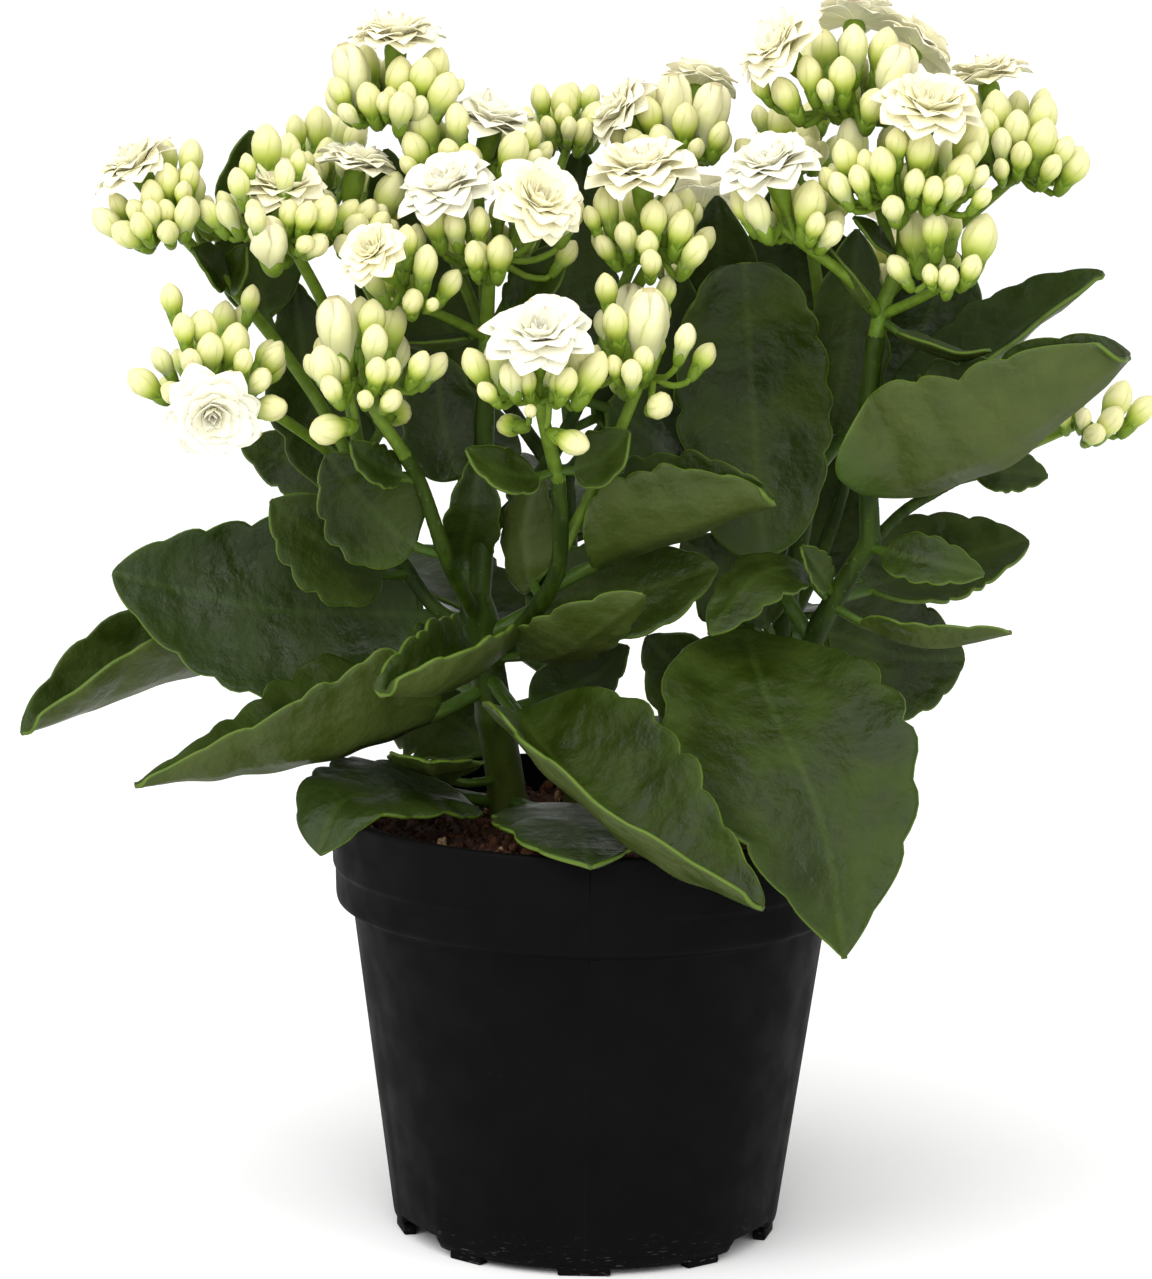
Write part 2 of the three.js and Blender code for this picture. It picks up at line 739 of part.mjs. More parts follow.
// The flower sprays: branches from the end of a stem, and heads of buds and blooms on them.
// A head gives its fork, the centre of each bloom, and each bud's tip across (x) and up (z) from the
// fork. A bloom or a bud of another size than the usual one has its radius beside it.
const SPRAYS = [
  {
    name: "spray_left",
    branches: [
      { path: [[-54, 14, 172], [-66, 18, 192], [-80, 10, 212], [-96, 0, 231]], radii: [1.6, 1.3] },
      { path: [[-54, 15, 176], [-46, 34, 196], [-56, 44, 216], [-64, 46, 232]], radii: [1.2, 1.1] },
      { path: [[-54, 14, 173], [-66, 2, 184], [-76, -8, 192], [-86, -16, 198]], radii: [1.4, 1.2] },
      { path: [[-54, 14, 173], [-57, 13, 190], [-62, 4, 212], [-68, -6, 226]], radii: [1.6, 1.4] },
      { path: [[-68, -6, 226], [-70, -8, 228], [-72, -10, 230]], radii: [1.3, 1.1] },
      { path: [[-68, -6, 226], [-63, -2, 228], [-58, 2, 231]], radii: [1.3, 1.1] },
    ],
    bracts: [
      { path: [[-84, 8, 216], [-88, 2, 222], [-92, -4, 227]], width: 12, top: [0.6, -0.6, 0.5] },
      { path: [[-84, 8, 216], [-82, 0, 222], [-80, -4, 228]], width: 10, top: [-0.4, -0.8, 0.4] },
      {
        path: [[-73, 15, 201], [-78, 23, 213], [-81, 26, 234], [-81, 24, 252]],
        width: 23,
        top: [0.2, -1, 0.1],
        lobes: 3,
      },
    ],
    heads: [
      {
        fork: [-96, 0, 231],
        blooms: [{ centre: [-104.5, -4, 245], radius: 10 }],
        buds: [
          [4, 21, 3], [4, 16, 2.5], [3, 12, 2], [-2, 15, 3], [-4, 12, 3], [-18, 5, 3],
          [-13, 2, 3], [-7, 6, 2.5], [-1, 3, 2.5], [4, 9, 3],
        ],
      },
      {
        fork: [-64, 46, 232],
        blooms: [],
        buds: [
          [-8, 23, 2.5], [-3, 25, 3.5], [7, 22, 3], [0, 18, 3], [-6, 15, 2.5], [4, 15, 2],
          [-2, 15, 2.5],
        ],
      },
      {
        fork: [-86, -16, 198],
        blooms: [{ centre: [-85, -32, 193.5] }],
        buds: [
          [-10, 23, 2.5], [-2, 18, 3], [6, 15, 3.5], [-6, 17, 2.5], [0, 13, 3], [-4, 10, 2.5],
          [-18, 4, 3], [-10, 1, 2.5], [13, 5, 2.5], [17, -3, 3],
        ],
      },
      {
        fork: [-72, -10, 230],
        blooms: [{ centre: [-71, -15, 241], radius: 10.5 }],
        buds: [
          [-2, 25, 3.5], [-7, 20, 2], [-9, 17, 2.5], [2, 19, 2.5], [-5, 10, 2], [-2, 6, 4.5],
          [8, 10, 2.5], [12, 11, 3], [8, 2, 2], [11, 2, 2.5], [5, 21, 2],
        ],
      },
      {
        fork: [-58, 2, 231],
        blooms: [{ centre: [-55.5, 2, 245.5], radius: 9.5 }],
        buds: [
          [4, 4, 3], [2, 1, 2.5], [7, 7, 2.5], [12, 14, 3.5], [10, 6, 2.5], [12, 3, 2.5],
          [14, -1, 2],
        ],
      },
    ],
  },
  {
    name: "spray_front_left",
    branches: [{ path: [[-43, -15, 182], [-48, -19, 190], [-52, -22, 197]], radii: [1.6, 1.4] }],
    bracts: [],
    heads: [
      {
        fork: [-52, -22, 197],
        blooms: [],
        buds: [
          [-7, 22, 4.5], [2, 22, 3], [3, 17, 3], [4, 10, 2.5], [-9, 12, 3.5], [-8, 6, 2.5],
          [1, 2, 2], [8, 2, 2.5], [14, 11, 2.5], [-11, -7, 3.5],
        ],
      },
    ],
  },
  {
    name: "spray_front_middle",
    branches: [{ path: [[-8.5, -20, 178], [-11, -25, 188], [-13, -30, 197]], radii: [1.7, 1.4] }],
    bracts: [
      {
        path: [[-9, -21, 180], [-15, -24, 179], [-22, -28, 181], [-29, -30, 186]],
        width: 13,
        top: [0.2, -0.8, 0.7],
      },
      {
        path: [[-9, -21, 180], [-3, -22, 181], [2, -24, 184], [7, -26, 190]],
        width: 15,
        top: [-0.4, -0.8, 0.4],
      },
    ],
    heads: [
      {
        fork: [-13, -30, 197],
        blooms: [{ centre: [-13, -40, 212], radius: 12 }],
        buds: [
          [-16, 12, 3], [-7, 10, 2.5], [-13, 5, 2], [14, 12, 3.5], [7, 9, 2.5], [11, -9, 3],
          [-2, 0, 1.5],
        ],
      },
    ],
  },
  {
    name: "spray_middle_low",
    branches: [
      { path: [[-8, -13, 160], [-2, -12, 172], [4, -15, 186], [9, -18, 199]], radii: [1.5, 1.3] },
    ],
    bracts: [],
    heads: [
      {
        fork: [9, -18, 199],
        blooms: [],
        buds: [
          [-8, 26, 2.5], [-6, 20, 3], [2, 23, 5], [11, 16, 2.5], [-6, 9, 2], [-1, 9, 2.5],
          [6, -1, 3],
        ],
      },
    ],
  },
  {
    name: "spray_middle_left",
    branches: [
      { path: [[-25.5, 5, 204], [-25.5, 2, 211], [-25, -4, 220]], radii: [2, 1.5] },
      { path: [[-25.5, 4, 207], [-33, -6, 212], [-42, -18, 217]], radii: [1.2, 1] },
      { path: [[-25.5, 2, 210], [-27, 10, 226], [-28, 4, 243]], radii: [1.5, 1.2] },
      { path: [[-25.5, 5, 206], [-36, 14, 230], [-47, 8, 256]], radii: [1.5, 1.2] },
      { path: [[-25, 5, 207], [-15, 18, 228], [-8, 26, 249]], radii: [1.4, 1.1] },
    ],
    bracts: [
      {
        path: [[-25, 4, 209], [-18, 2, 215], [-13, 0, 222], [-8, 0, 229]],
        width: 14,
        top: [-0.4, -0.9, 0.2],
      },
      { path: [[-26, 4, 209], [-34, 2, 206], [-46, -2, 206]], width: 12, top: [0, 0, 1] },
    ],
    heads: [
      {
        fork: [-25, -4, 220],
        blooms: [{ centre: [-34, -16, 242] }, { centre: [-14, -24, 240] }],
        buds: [
          [-2, 19, 2.5], [-3, 12, 2.5], [3, 13, 3], [-13, 20, 3], [15, 26, 3], [20, 21, 3],
          [-8, 18, 2.5],
        ],
      },
      {
        fork: [-42, -18, 217],
        blooms: [{ centre: [-50, -30, 229], radius: 8.5 }],
        buds: [[4, 14, 3], [1, 4, 2.5], [6, 2, 1.5], [-1, 18, 2.5]],
      },
      {
        fork: [-28, 4, 243],
        blooms: [{ centre: [-25, 2, 255.5] }],
        buds: [
          [-14, 17, 3.5], [-5, 18, 3], [10, 12, 3.5], [-16, 11, 3], [-6, 10, 2.5], [-3, 9, 3],
          [-17, 6, 2], [13, 14, 2.5], [14, 8, 2],
        ],
      },
      {
        fork: [-47, 8, 256],
        blooms: [{ centre: [-47, 6, 274], radius: 11 }],
        buds: [
          [-12, 17, 4.5], [2, 15, 3.5], [10, 17, 3.5], [7, 14, 3], [13, 12, 3.5], [-14, 10, 2.5],
          [-6, 9, 3], [-2, 7, 2], [2, 8, 3], [15, 10, 1.5], [-12, 4, 2],
        ],
      },
      {
        fork: [-8, 26, 249],
        blooms: [],
        buds: [
          [-7, 15, 2.5], [-1, 15, 3], [-1, 11, 2], [1, 8, 2], [7, 11, 3], [-5, 8, 2],
          [4, 8, 2.5],
        ],
      },
    ],
  },
  {
    name: "spray_middle_right",
    branches: [
      { path: [[-2, 14, 196], [0, 12, 202], [5, 4, 213], [11, -6, 225]], radii: [1.6, 1.4] },
      { path: [[-1, 13, 199], [7, 18, 222], [18, 20, 246]], radii: [1.4, 1.2] },
    ],
    bracts: [],
    heads: [
      {
        fork: [11, -6, 225],
        blooms: [{ centre: [9, -12, 246], radius: 13 }],
        buds: [
          [-11, 18, 3], [1, 16, 3], [-6, 11, 2.5], [-2, 8, 1.5], [8, 14, 3], [0, 6, 2.5],
          [12, 8, 3], [5, 17, 3], [-14, 14, 2],
        ],
      },
      {
        fork: [18, 20, 246],
        blooms: [{ centre: [5, 16, 258], radius: 10 }, { centre: [22, 26, 264], radius: 9 }],
        buds: [
          [-2, 21, 4.5], [8, 19, 4.5], [-9, 16, 3], [1, 15, 3], [-6, 10, 3.5], [10, 11, 2.5],
          [4, 7, 2], [-12, 9, 2.5], [-9, 8, 2.5],
        ],
      },
    ],
  },
  {
    name: "spray_right_front",
    branches: [
      { path: [[63, 0, 209], [64, 0, 215], [68, -1, 227], [68, -8, 238]], radii: [2, 1.4] },
      { path: [[64, 0, 214], [56, -6, 223], [44, -12, 232]], radii: [1.5, 1.2] },
      { path: [[67, -1, 225], [62, 3, 242], [56, 2, 257]], radii: [1.4, 1.2] },
      { path: [[64, 0, 214], [71, -6, 218], [77, -12, 222]], radii: [1.3, 1.1] },
    ],
    bracts: [
      {
        path: [[64, 0, 213], [72, -6, 209], [82, -10, 206], [88, -12, 208]],
        width: 12,
        top: [0, 0.1, 1],
      },
      { path: [[64, 0, 213], [58, -4, 220], [50, -6, 231]], width: 8, top: [0.7, 0.2, 0.6] },
      { path: [[68, 0, 228], [63, -6, 231], [57, -9, 237]], width: 9, top: [0.5, -0.5, 0.7] },
    ],
    heads: [
      {
        fork: [44, -12, 232],
        blooms: [{ centre: [38, -18, 248], radius: 12 }],
        buds: [[-14, 12, 3], [-11, 11, 3], [3, 14, 4], [9, 5, 2.5]],
      },
      {
        fork: [68, -8, 238],
        blooms: [{ centre: [72, -20, 261.5], radius: 12 }],
        buds: [
          [-15, 17, 3], [-10, 15, 2.5], [-7, 16, 3], [-12, 12, 2.5], [-4, 5, 2.5], [-3, 20, 2.5],
          [3, 20, 3.5], [2, 11, 2.5], [6, 10, 2.5], [13, 14, 3], [16, 22, 4], [15, 17, 2.5],
          [-17, 10, 2.5], [18, 7, 2], [17, 12, 2],
        ],
      },
      {
        fork: [56, 2, 257],
        blooms: [
          { centre: [40, -6, 274], radius: 11 },
          { centre: [57, 12, 280], radius: 10 },
          { centre: [71, 8, 274], radius: 10 },
        ],
        buds: [
          [0, 23, 3.5], [8, 22, 3.5], [11, 19, 4.5], [-11, 16, 3], [-3, 16, 3], [-7, 11, 2],
          [5, 9, 3], [-22, 11, 2], [-17, 11, 3],
        ],
      },
      {
        fork: [77, -12, 222],
        blooms: [],
        buds: [[-3, 18, 3], [9, 17, 4], [-4, 6, 2], [0, 6, 2.5]],
      },
    ],
  },
  {
    name: "spray_right_back",
    branches: [
      { path: [[52, 26, 190], [53, 26, 198], [50, 27, 222], [45, 26, 246]], radii: [1.9, 1.2] },
      { path: [[53, 26, 198], [72, 24, 222], [93, 16, 243]], radii: [1.5, 1.2] },
    ],
    bracts: [],
    heads: [
      {
        fork: [45, 26, 246],
        blooms: [],
        buds: [[-5, 15, 3.5], [3, 10, 3], [-14, 6, 3], [-6, 6, 2.5], [-9, 14, 2]],
      },
      {
        fork: [93, 16, 243],
        blooms: [{ centre: [88, 18, 266.5], radius: 10 }],
        buds: [
          [-11, 23, 3], [-4, 22, 3.5], [8, 21, 3.5], [8, 16, 3.5], [1, 18, 3], [-3, 14, 2.5],
          [2, 11, 2.5], [16, 9, 3], [10, 8, 2.5], [-3, 7, 2], [-6, 18, 2.5], [13, 12, 2.5],
        ],
      },
    ],
  },
  {
    name: "spray_right_low",
    branches: [{ path: [[86, 20, 175], [98, 31, 179], [113, 42, 184]], radii: [1.3, 1.1] }],
    bracts: [],
    heads: [
      {
        fork: [113, 42, 184],
        blooms: [],
        buds: [[11, 12, 3.5], [18, 8, 3], [5, 2, 2.5], [9, 6, 3], [1, 6, 2]],
      },
    ],
  },
  {
    name: "spray_behind_left",
    branches: [{ path: [[-32, 56, 206], [-34, 57, 211], [-36, 58, 216]], radii: [1.5, 1.3] }],
    bracts: [],
    heads: [
      {
        fork: [-36, 58, 216],
        blooms: [{ centre: [-38, 66, 230] }],
        buds: [[-9, 8], [-4, 14], [4, 12], [10, 7], [7, 2]],
      },
    ],
  },
  {
    name: "spray_behind_middle",
    branches: [{ path: [[18, 60, 208], [20, 61, 213], [22, 62, 218]], radii: [1.5, 1.3] }],
    bracts: [],
    heads: [
      {
        fork: [22, 62, 218],
        blooms: [{ centre: [24, 71, 232] }],
        buds: [[-10, 7], [-5, 13], [4, 13], [9, 8], [-6, 2]],
      },
    ],
  },
  {
    name: "spray_behind_right",
    branches: [{ path: [[64, 46, 196], [67, 48, 206], [70, 50, 216]], radii: [1.5, 1.3] }],
    bracts: [],
    heads: [
      {
        fork: [70, 50, 216],
        blooms: [{ centre: [74, 60, 229], radius: 10.5 }],
        buds: [[-9, 8], [-3, 14], [5, 13], [10, 8], [6, 2]],
      },
    ],
  },
];

// The tips of a head's buds, on a dome round the fork: the outer ones, up to MOST_BUDS of them. Every
// fourth stands on the far side, and the others on the near side.
function budTips({ fork, buds }) {
  const reach = ([across, up]) => Math.hypot(across, up);
  const sorted = [...buds].sort((one, other) => reach(other) - reach(one));
  const dome = reach(sorted[0]) + 1;
  const tips = [];
  sorted.slice(0, MOST_BUDS).forEach((listed, i) => {
    const [across, up, radius = BUD_RADIUS] = listed;
    const depth = Math.sqrt(Math.max(0, dome ** 2 - reach(listed) ** 2));
    const near = new THREE.Vector3(across, -0.7 * depth, up);
    const far = new THREE.Vector3(-0.8 * across, 0.7 * depth + 3, 0.9 * up + 1);
    const side = i % 4 === 1 ? far : near;
    tips.push({ radius, tip: side.add(vector(fork)) });
  });
  return tips;
}

const touches = (solid, others) => others.some((other) => solid.intersect(other).volume() > 1e-3);
const smallBlade = (leaf) => {
  const lobes = leaf.width > 12 ? 2 : 1;
  return blade({ lobes, notch: 0.14, thickness: 0.9, stalk: 1, ...leaf });
};

// The stems, and their room: the same stems grown by the seat gap, kept free of what sits on them
const tubesOf = ({ tubes }, grow) =>
  tubes.map(({ path, radii, sides = 5 }) => stemTube(path, radii, sides, grow));
const stemSolids = new Map();
const stemRooms = [];
for (const [name, stem] of Object.entries(STEMS)) {
  stemSolids.set(name, join([...tubesOf(stem, 0), ...SMALL_LEAVES[name].map(smallBlade)]));
  stemRooms.push(...tubesOf(stem, SEAT_GAP));
}
const stemRoom = join(stemRooms);

const leafSolids = new Map(LEAVES.map((leaf) => [leaf.name, largest(blade(leaf).subtract(stemRoom))]));

// Blooms of one head that lean into each other are one piece
const bloomSolids = new Map();
for (const spray of SPRAYS) {
  const place = spray.name.replace("spray_", "");
  const made = [];
  for (const { fork, blooms } of spray.heads) {
    for (const flower of blooms) {
      const solid = bloom(fork, flower, bloomSolids.size + made.length);
      const mate = made.findIndex((other) => touches(solid, [other]));
      if (mate < 0) made.push(solid);
      else made[mate] = made[mate].add(solid);
    }
  }
  made.forEach((solid, i) => {
    const number = made.length > 1 ? "_" + (i + 1) : "";
    bloomSolids.set("bloom_" + place + number, solid);
  });
}

// Each spray: a bud that would meet a leaf, a bloom or another spray is left out
const spraySolids = new Map();
for (const spray of SPRAYS) {
  const others = [stemSolids, leafSolids, bloomSolids, spraySolids].flatMap((made) => [...made.values()]);
  const pieces = spray.bracts.map(smallBlade);
  for (const { path, radii } of spray.branches) {
    pieces.push(stemTube(path, radii, BRANCH_SIDES, 0, FORK_REACH));
  }
  for (const head of spray.heads) {
    for (const flower of head.blooms) pieces.push(bloomTube(head.fork, flower));
    for (const { tip, radius } of budTips(head)) {
      const solid = bud(head.fork, tip, radius);
      if (!touches(solid, others)) pieces.push(solid);
    }
  }
  spraySolids.set(spray.name, largest(join(pieces).subtract(stemRoom)));
}

const potPlastic = new THREE.MeshStandardMaterial({ color: 0x1b1b1b, roughness: 0.42, metalness: 0 });
const peatMix = new THREE.MeshStandardMaterial({ color: 0x4b3222, roughness: 0.95, metalness: 0 });
const stemGreen = new THREE.MeshStandardMaterial({ color: 0x6f9436, roughness: 0.5, metalness: 0 });
const leafGreen = new THREE.MeshStandardMaterial({ color: 0x34511f, roughness: 0.42, metalness: 0 });
const budGreen = new THREE.MeshStandardMaterial({ color: 0xa9bd5a, roughness: 0.5, metalness: 0 });
const petalCream = new THREE.MeshStandardMaterial({ color: 0xf6f1dc, roughness: 0.6, metalness: 0 });

const container = new THREE.Group();
container.add(meshOf("pot", pot(), potPlastic), meshOf("potting_mix", pottingMix(stemRoom), peatMix));

const foliage = new THREE.Group();
for (const [name, solid] of stemSolids) foliage.add(meshOf(name, solid, stemGreen));
for (const [name, solid] of leafSolids) foliage.add(meshOf(name, solid, leafGreen));

const flowers = new THREE.Group();
for (const [name, solid] of spraySolids) flowers.add(meshOf(name, solid, budGreen));
for (const [name, solid] of bloomSolids) flowers.add(meshOf(name, solid, petalCream));

const plant = new THREE.Group();
plant.add(container, foliage, flowers);

export default plant;
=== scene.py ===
"""The looks of a potted flaming katy, a bushy kalanchoe with double, cream-white blooms in a black
nursery pot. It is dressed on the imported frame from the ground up: studio, pot, potting mix, stems,
leaves, flower sprays and blooms. Lengths in the sections are millimetres."""
import math

import bmesh
import bpy
import numpy as np
from mathutils import Euler, Matrix, Vector, noise


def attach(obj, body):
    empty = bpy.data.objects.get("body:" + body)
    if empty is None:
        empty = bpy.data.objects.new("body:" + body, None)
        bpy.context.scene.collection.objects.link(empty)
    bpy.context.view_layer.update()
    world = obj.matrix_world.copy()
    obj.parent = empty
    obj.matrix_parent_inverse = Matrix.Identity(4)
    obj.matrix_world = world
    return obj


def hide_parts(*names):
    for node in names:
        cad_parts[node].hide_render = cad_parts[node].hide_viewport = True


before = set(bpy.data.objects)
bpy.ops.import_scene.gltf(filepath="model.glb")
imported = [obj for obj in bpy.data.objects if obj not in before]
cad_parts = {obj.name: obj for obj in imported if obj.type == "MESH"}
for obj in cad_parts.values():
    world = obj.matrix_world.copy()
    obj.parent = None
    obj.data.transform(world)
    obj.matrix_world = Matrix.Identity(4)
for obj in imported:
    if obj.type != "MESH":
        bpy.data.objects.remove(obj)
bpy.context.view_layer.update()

# ----------------------------------------
# The studio: a wide pale floor, an even white surround and soft lamps. The camera stands a metre in
# front of the pot, a little above the flowers, and looks down on it as the photograph does.


def paint(red, green, blue):
    """A colour as a screen shows it, from 0 to 255, in the linear numbers that shaders take."""
    shares = [part / 255 for part in (red, green, blue)]
    return (*[s / 12.92 if s <= 0.04045 else ((s + 0.055) / 1.055) ** 2.4 for s in shares], 1.0)


class Finish:
    """A material. An even value goes to the shader's own socket, and a node's output is linked to it."""

    def __init__(self, name, **sockets):
        self.material = bpy.data.materials.new(name)
        self.material.use_nodes = True
        self.nodes = self.material.node_tree.nodes
        self.shade(**sockets)

    def shade(self, **sockets):
        for socket, value in sockets.items():
            self.feed(self.nodes["Principled BSDF"].inputs[socket.replace("_", " ")], value)

    def feed(self, socket, value):
        if isinstance(value, bpy.types.NodeSocket):
            self.material.node_tree.links.new(value, socket)
        else:
            socket.default_value = value

    def add(self, kind, *values, **given):
        """Adds a shader node, with values for its inputs in their order, or by name, or for its settings."""
        node = self.nodes.new("ShaderNode" + kind)
        for key, value in given.items():
            if key in node.inputs:
                self.feed(node.inputs[key], value)
            else:
                setattr(node, key, value)
        for socket, value in zip(node.inputs, values):
            self.feed(socket, value)
        return node.outputs[0]

    def mixed(self, share, first, second):
        """Goes from the first colour to the second as the share goes from 0 to 1."""
        node = self.nodes.new("ShaderNodeMix")
        node.data_type = "RGBA"
        for index, value in ((0, share), (6, first), (7, second)):
            self.feed(node.inputs[index], value)
        return node.outputs[2]

    def graded(self, value, start, end, low=0.0, high=1.0):
        """Low up to the start value, high from the end value on, and smooth between them."""
        return self.add("MapRange", value, start, end, low, high, interpolation_type="SMOOTHSTEP")

    def times(self, first, second):
        return self.add("Math", first, second, operation="MULTIPLY")

    def place(self):
        return self.nodes.new("ShaderNodeTexCoord").outputs["Object"]

    def height(self):
        return self.add("SeparateXYZ", self.place()).node.outputs["Z"]

    def mark(self, name):
        """The numbers that the mesh carries under this name."""
        return self.add("Attribute", attribute_name=name).node.outputs["Fac"]

    def speckle(self, size, detail=3.0, stretch=(1, 1, 1)):
        """Cloudy noise fixed to the object, whose patches have about this size in millimetres."""
        place = self.add("Mapping", self.place(), Scale=stretch)
        return self.add("TexNoise", Vector=place, Scale=1000 / size, Detail=detail)

    def relief(self, height, depth, strength=0.6):
        """Lets a height from 0 to 1 stand this many millimetres proud of the surface."""
        self.shade(Normal=self.add("Bump", Height=height, Strength=strength, Distance=depth / 1000))


surround = bpy.data.worlds.new("white_surround")
surround.use_nodes = True
white_light = surround.node_tree.nodes["Background"].inputs
white_light["Color"].default_value = (1, 1, 1, 1)
white_light["Strength"].default_value = 0.64
bpy.context.scene.world = surround
bpy.context.scene.view_settings.view_transform = "Standard"

floor_paint = Finish("pale_floor", Roughness=1.0, Specular_IOR_Level=0.0)
patches = floor_paint.speckle(900)
floor_paint.shade(Base_Color=floor_paint.mixed(patches, paint(251, 251, 250), paint(254, 254, 254)))
bpy.ops.mesh.primitive_grid_add(x_subdivisions=8, y_subdivisions=8, size=60)
floor = bpy.context.object
floor.name = "studio_floor"
floor.data.materials.append(floor_paint.material)


def lamp(name, kind, energy, place, aim, **settings):
    """Hangs a lamp at a place, in metres, and points it at what it lights."""
    light = bpy.data.lights.new(name, kind)
    light.energy = energy
    for key, value in settings.items():
        setattr(light, key, value)
    holder = bpy.data.objects.new(name, light)
    holder.location = place
    holder.rotation_euler = (Vector(aim) - Vector(place)).to_track_quat("-Z", "Y").to_euler()
    bpy.context.scene.collection.objects.link(holder)


lamp("overhead_glow", "SUN", 2.0, (-0.6, -1.0, 2.2), (0, 0, 0.15), angle=math.radians(75))
lamp("front_softbox", "AREA", 5.0, (0.1, -1.25, 0.62), (0, 0, 0.2), shape="SQUARE", size=0.7)
lamp("left_softbox", "AREA", 3.5, (-1.0, -0.9, 0.9), (0, 0, 0.16), shape="SQUARE", size=0.8)
lamp("right_softbox", "AREA", 2.0, (1.1, -0.5, 0.8), (0, 0, 0.16), shape="SQUARE", size=0.7)

CAMERA_PLACE = (0, -1.070, 0.325)
LOOKS_DOWN, LEANS_OVER = math.radians(9.9), math.radians(0.9)
SIDE_SHIFT = -18 / 1279  # in heights of the picture

camera_data = bpy.data.cameras.new("camera")
camera_data.lens = 133.0
camera_data.sensor_width = 36.0
camera_data.shift_x = SIDE_SHIFT
camera_data.clip_start, camera_data.clip_end = 0.05, 200.0
right, up = Vector((1, 0, 0)), Vector((0, math.sin(LOOKS_DOWN), math.cos(LOOKS_DOWN)))
leant_right = right * math.cos(LEANS_OVER) + up * math.sin(LEANS_OVER)
leant_up = up * math.cos(LEANS_OVER) - right * math.sin(LEANS_OVER)
turned = Matrix((leant_right, leant_up, leant_right.cross(leant_up))).transposed()
camera = bpy.data.objects.new("camera", camera_data)
camera.matrix_world = Matrix.Translation(CAMERA_PLACE) @ turned.to_4x4()
bpy.context.scene.collection.objects.link(camera)
bpy.context.scene.camera = camera

# ----------------------------------------
# The pot: injection-moulded black plastic, a thin flared wall with a deep plain rim band, a skirt
# with drainage notches and ten small feet. The mould leaves a fine seam down the front and back.
POT_PROFILE = [  # radius and height
    (0.02, 3.4), (41.4, 3.4), (42, 1.3), (43.8, 1.3), (45, 3.3), (55, 76), (58.6, 77.6), (58.9, 79),
    (59.1, 85.5), (59.7, 86.2), (60, 99.5), (59.5, 100), (57.6, 100), (57.2, 80), (53.8, 76),
    (44.3, 5), (0.02, 5),
]
FOOT_AZIMUTHS = [0, 38, 76, 104, 142, 180, 218, 256, 284, 322]
NOTCH_AZIMUTHS = [60, 120, 240, 300]
NOTCH_HALF_ANGLE, NOTCH_TOP = 10.8, 4.9
SEAM_AZIMUTHS = [0, 180]
SEAM_HALF_ANGLE, SEAM_HEIGHT = 0.35, 0.05
OUT_OF_ROUND = 0.1
SPOKE_STEP = 2


class Heap:
    """Shapes gathered into one mesh. Each point can carry marks: numbers that its finish reads."""

    def __init__(self):
        self.points, self.faces, self.marks, self.count = [], [], {}, 0

    def put(self, points, faces, **marks):
        points = np.asarray(points, float).reshape(-1, 3)
        self.points.append(points)
        self.faces += [(np.asarray(block) + self.count).tolist() for block in faces]
        for mark, values in marks.items():
            spread = np.broadcast_to(np.asarray(values, float), len(points))
            self.marks.setdefault(mark, []).append(spread)
        self.count += len(points)

    def make(self, name, finish):
        mesh = bpy.data.meshes.new(name)
        faces = [face for block in self.faces for face in block]
        mesh.from_pydata((np.vstack(self.points) / 1000).tolist(), [], faces)
        for mark, values in self.marks.items():
            layer = mesh.attributes.new(mark, "FLOAT", "POINT")
            layer.data.foreach_set("value", np.concatenate(values).astype(np.float32))
        mesh.polygons.foreach_set("use_smooth", np.ones(len(mesh.polygons), bool))
        mesh.materials.append(finish.material)
        piece = bpy.data.objects.new(name, mesh)
        bpy.context.scene.collection.objects.link(piece)
        return piece


def wrapped(rings, around):
    """The faces between rings that close on themselves, and the lids of the first and last ring."""
    ring, spoke = np.meshgrid(np.arange(rings - 1), np.arange(around), indexing="ij")
    near, far = ring * around + spoke, ring * around + (spoke + 1) % around
    sides = np.stack([near, far, far + around, near + around], -1).reshape(-1, 4)
    lid = np.arange(around)
    return [sides, [lid[::-1]], [lid + (rings - 1) * around]]


def rounded(profile, radius, steps=3):
    """A profile whose corners are rounded off with short arcs."""
    points = [Vector(p) for p in profile]
    smooth = [points[0]]
    for before, corner, after in zip(points, points[1:], points[2:]):
        back, on = before - corner, after - corner
        start = corner + back.normalized() * min(radius, 0.45 * back.length)
        end = corner + on.normalized() * min(radius, 0.45 * on.length)
        for step in range(steps + 1):
            t = step / steps
            smooth.append(start * (1 - t) ** 2 + corner * 2 * t * (1 - t) + end * t * t)
    return np.array([*smooth, points[-1]])


def angle_from(azimuths, places):
    """How many degrees each azimuth is from the nearest of these places."""
    apart = np.abs((azimuths[:, None] - np.array(places)[None] + 180) % 360 - 180)
    return apart.min(1)


def shape_of(block):
    """The points and faces of a made block."""
    block.verts.index_update()
    points = np.array([vert.co[:] for vert in block.verts])
    faces = [[vert.index for vert in face.verts] for face in block.faces]
    block.free()
    return points, faces


def soft_box(width, depth, height, corner):
    """A box with rounded edges, standing on z = 0."""
    block = bmesh.new()
    bmesh.ops.create_cube(block, size=1)
    bmesh.ops.scale(block, vec=(width, depth, height), verts=block.verts)
    bmesh.ops.translate(block, vec=(0, 0, height / 2), verts=block.verts)
    bmesh.ops.bevel(block, geom=block.edges[:], offset=corner, segments=3, affect="EDGES", profile=0.5)
    return shape_of(block)


def turned_about(points, degrees):
    """Turns points about the pot's axis."""
    cos, sin = math.cos(math.radians(degrees)), math.sin(math.radians(degrees))
    return points @ np.array([[cos, sin, 0], [-sin, cos, 0], [0, 0, 1]])


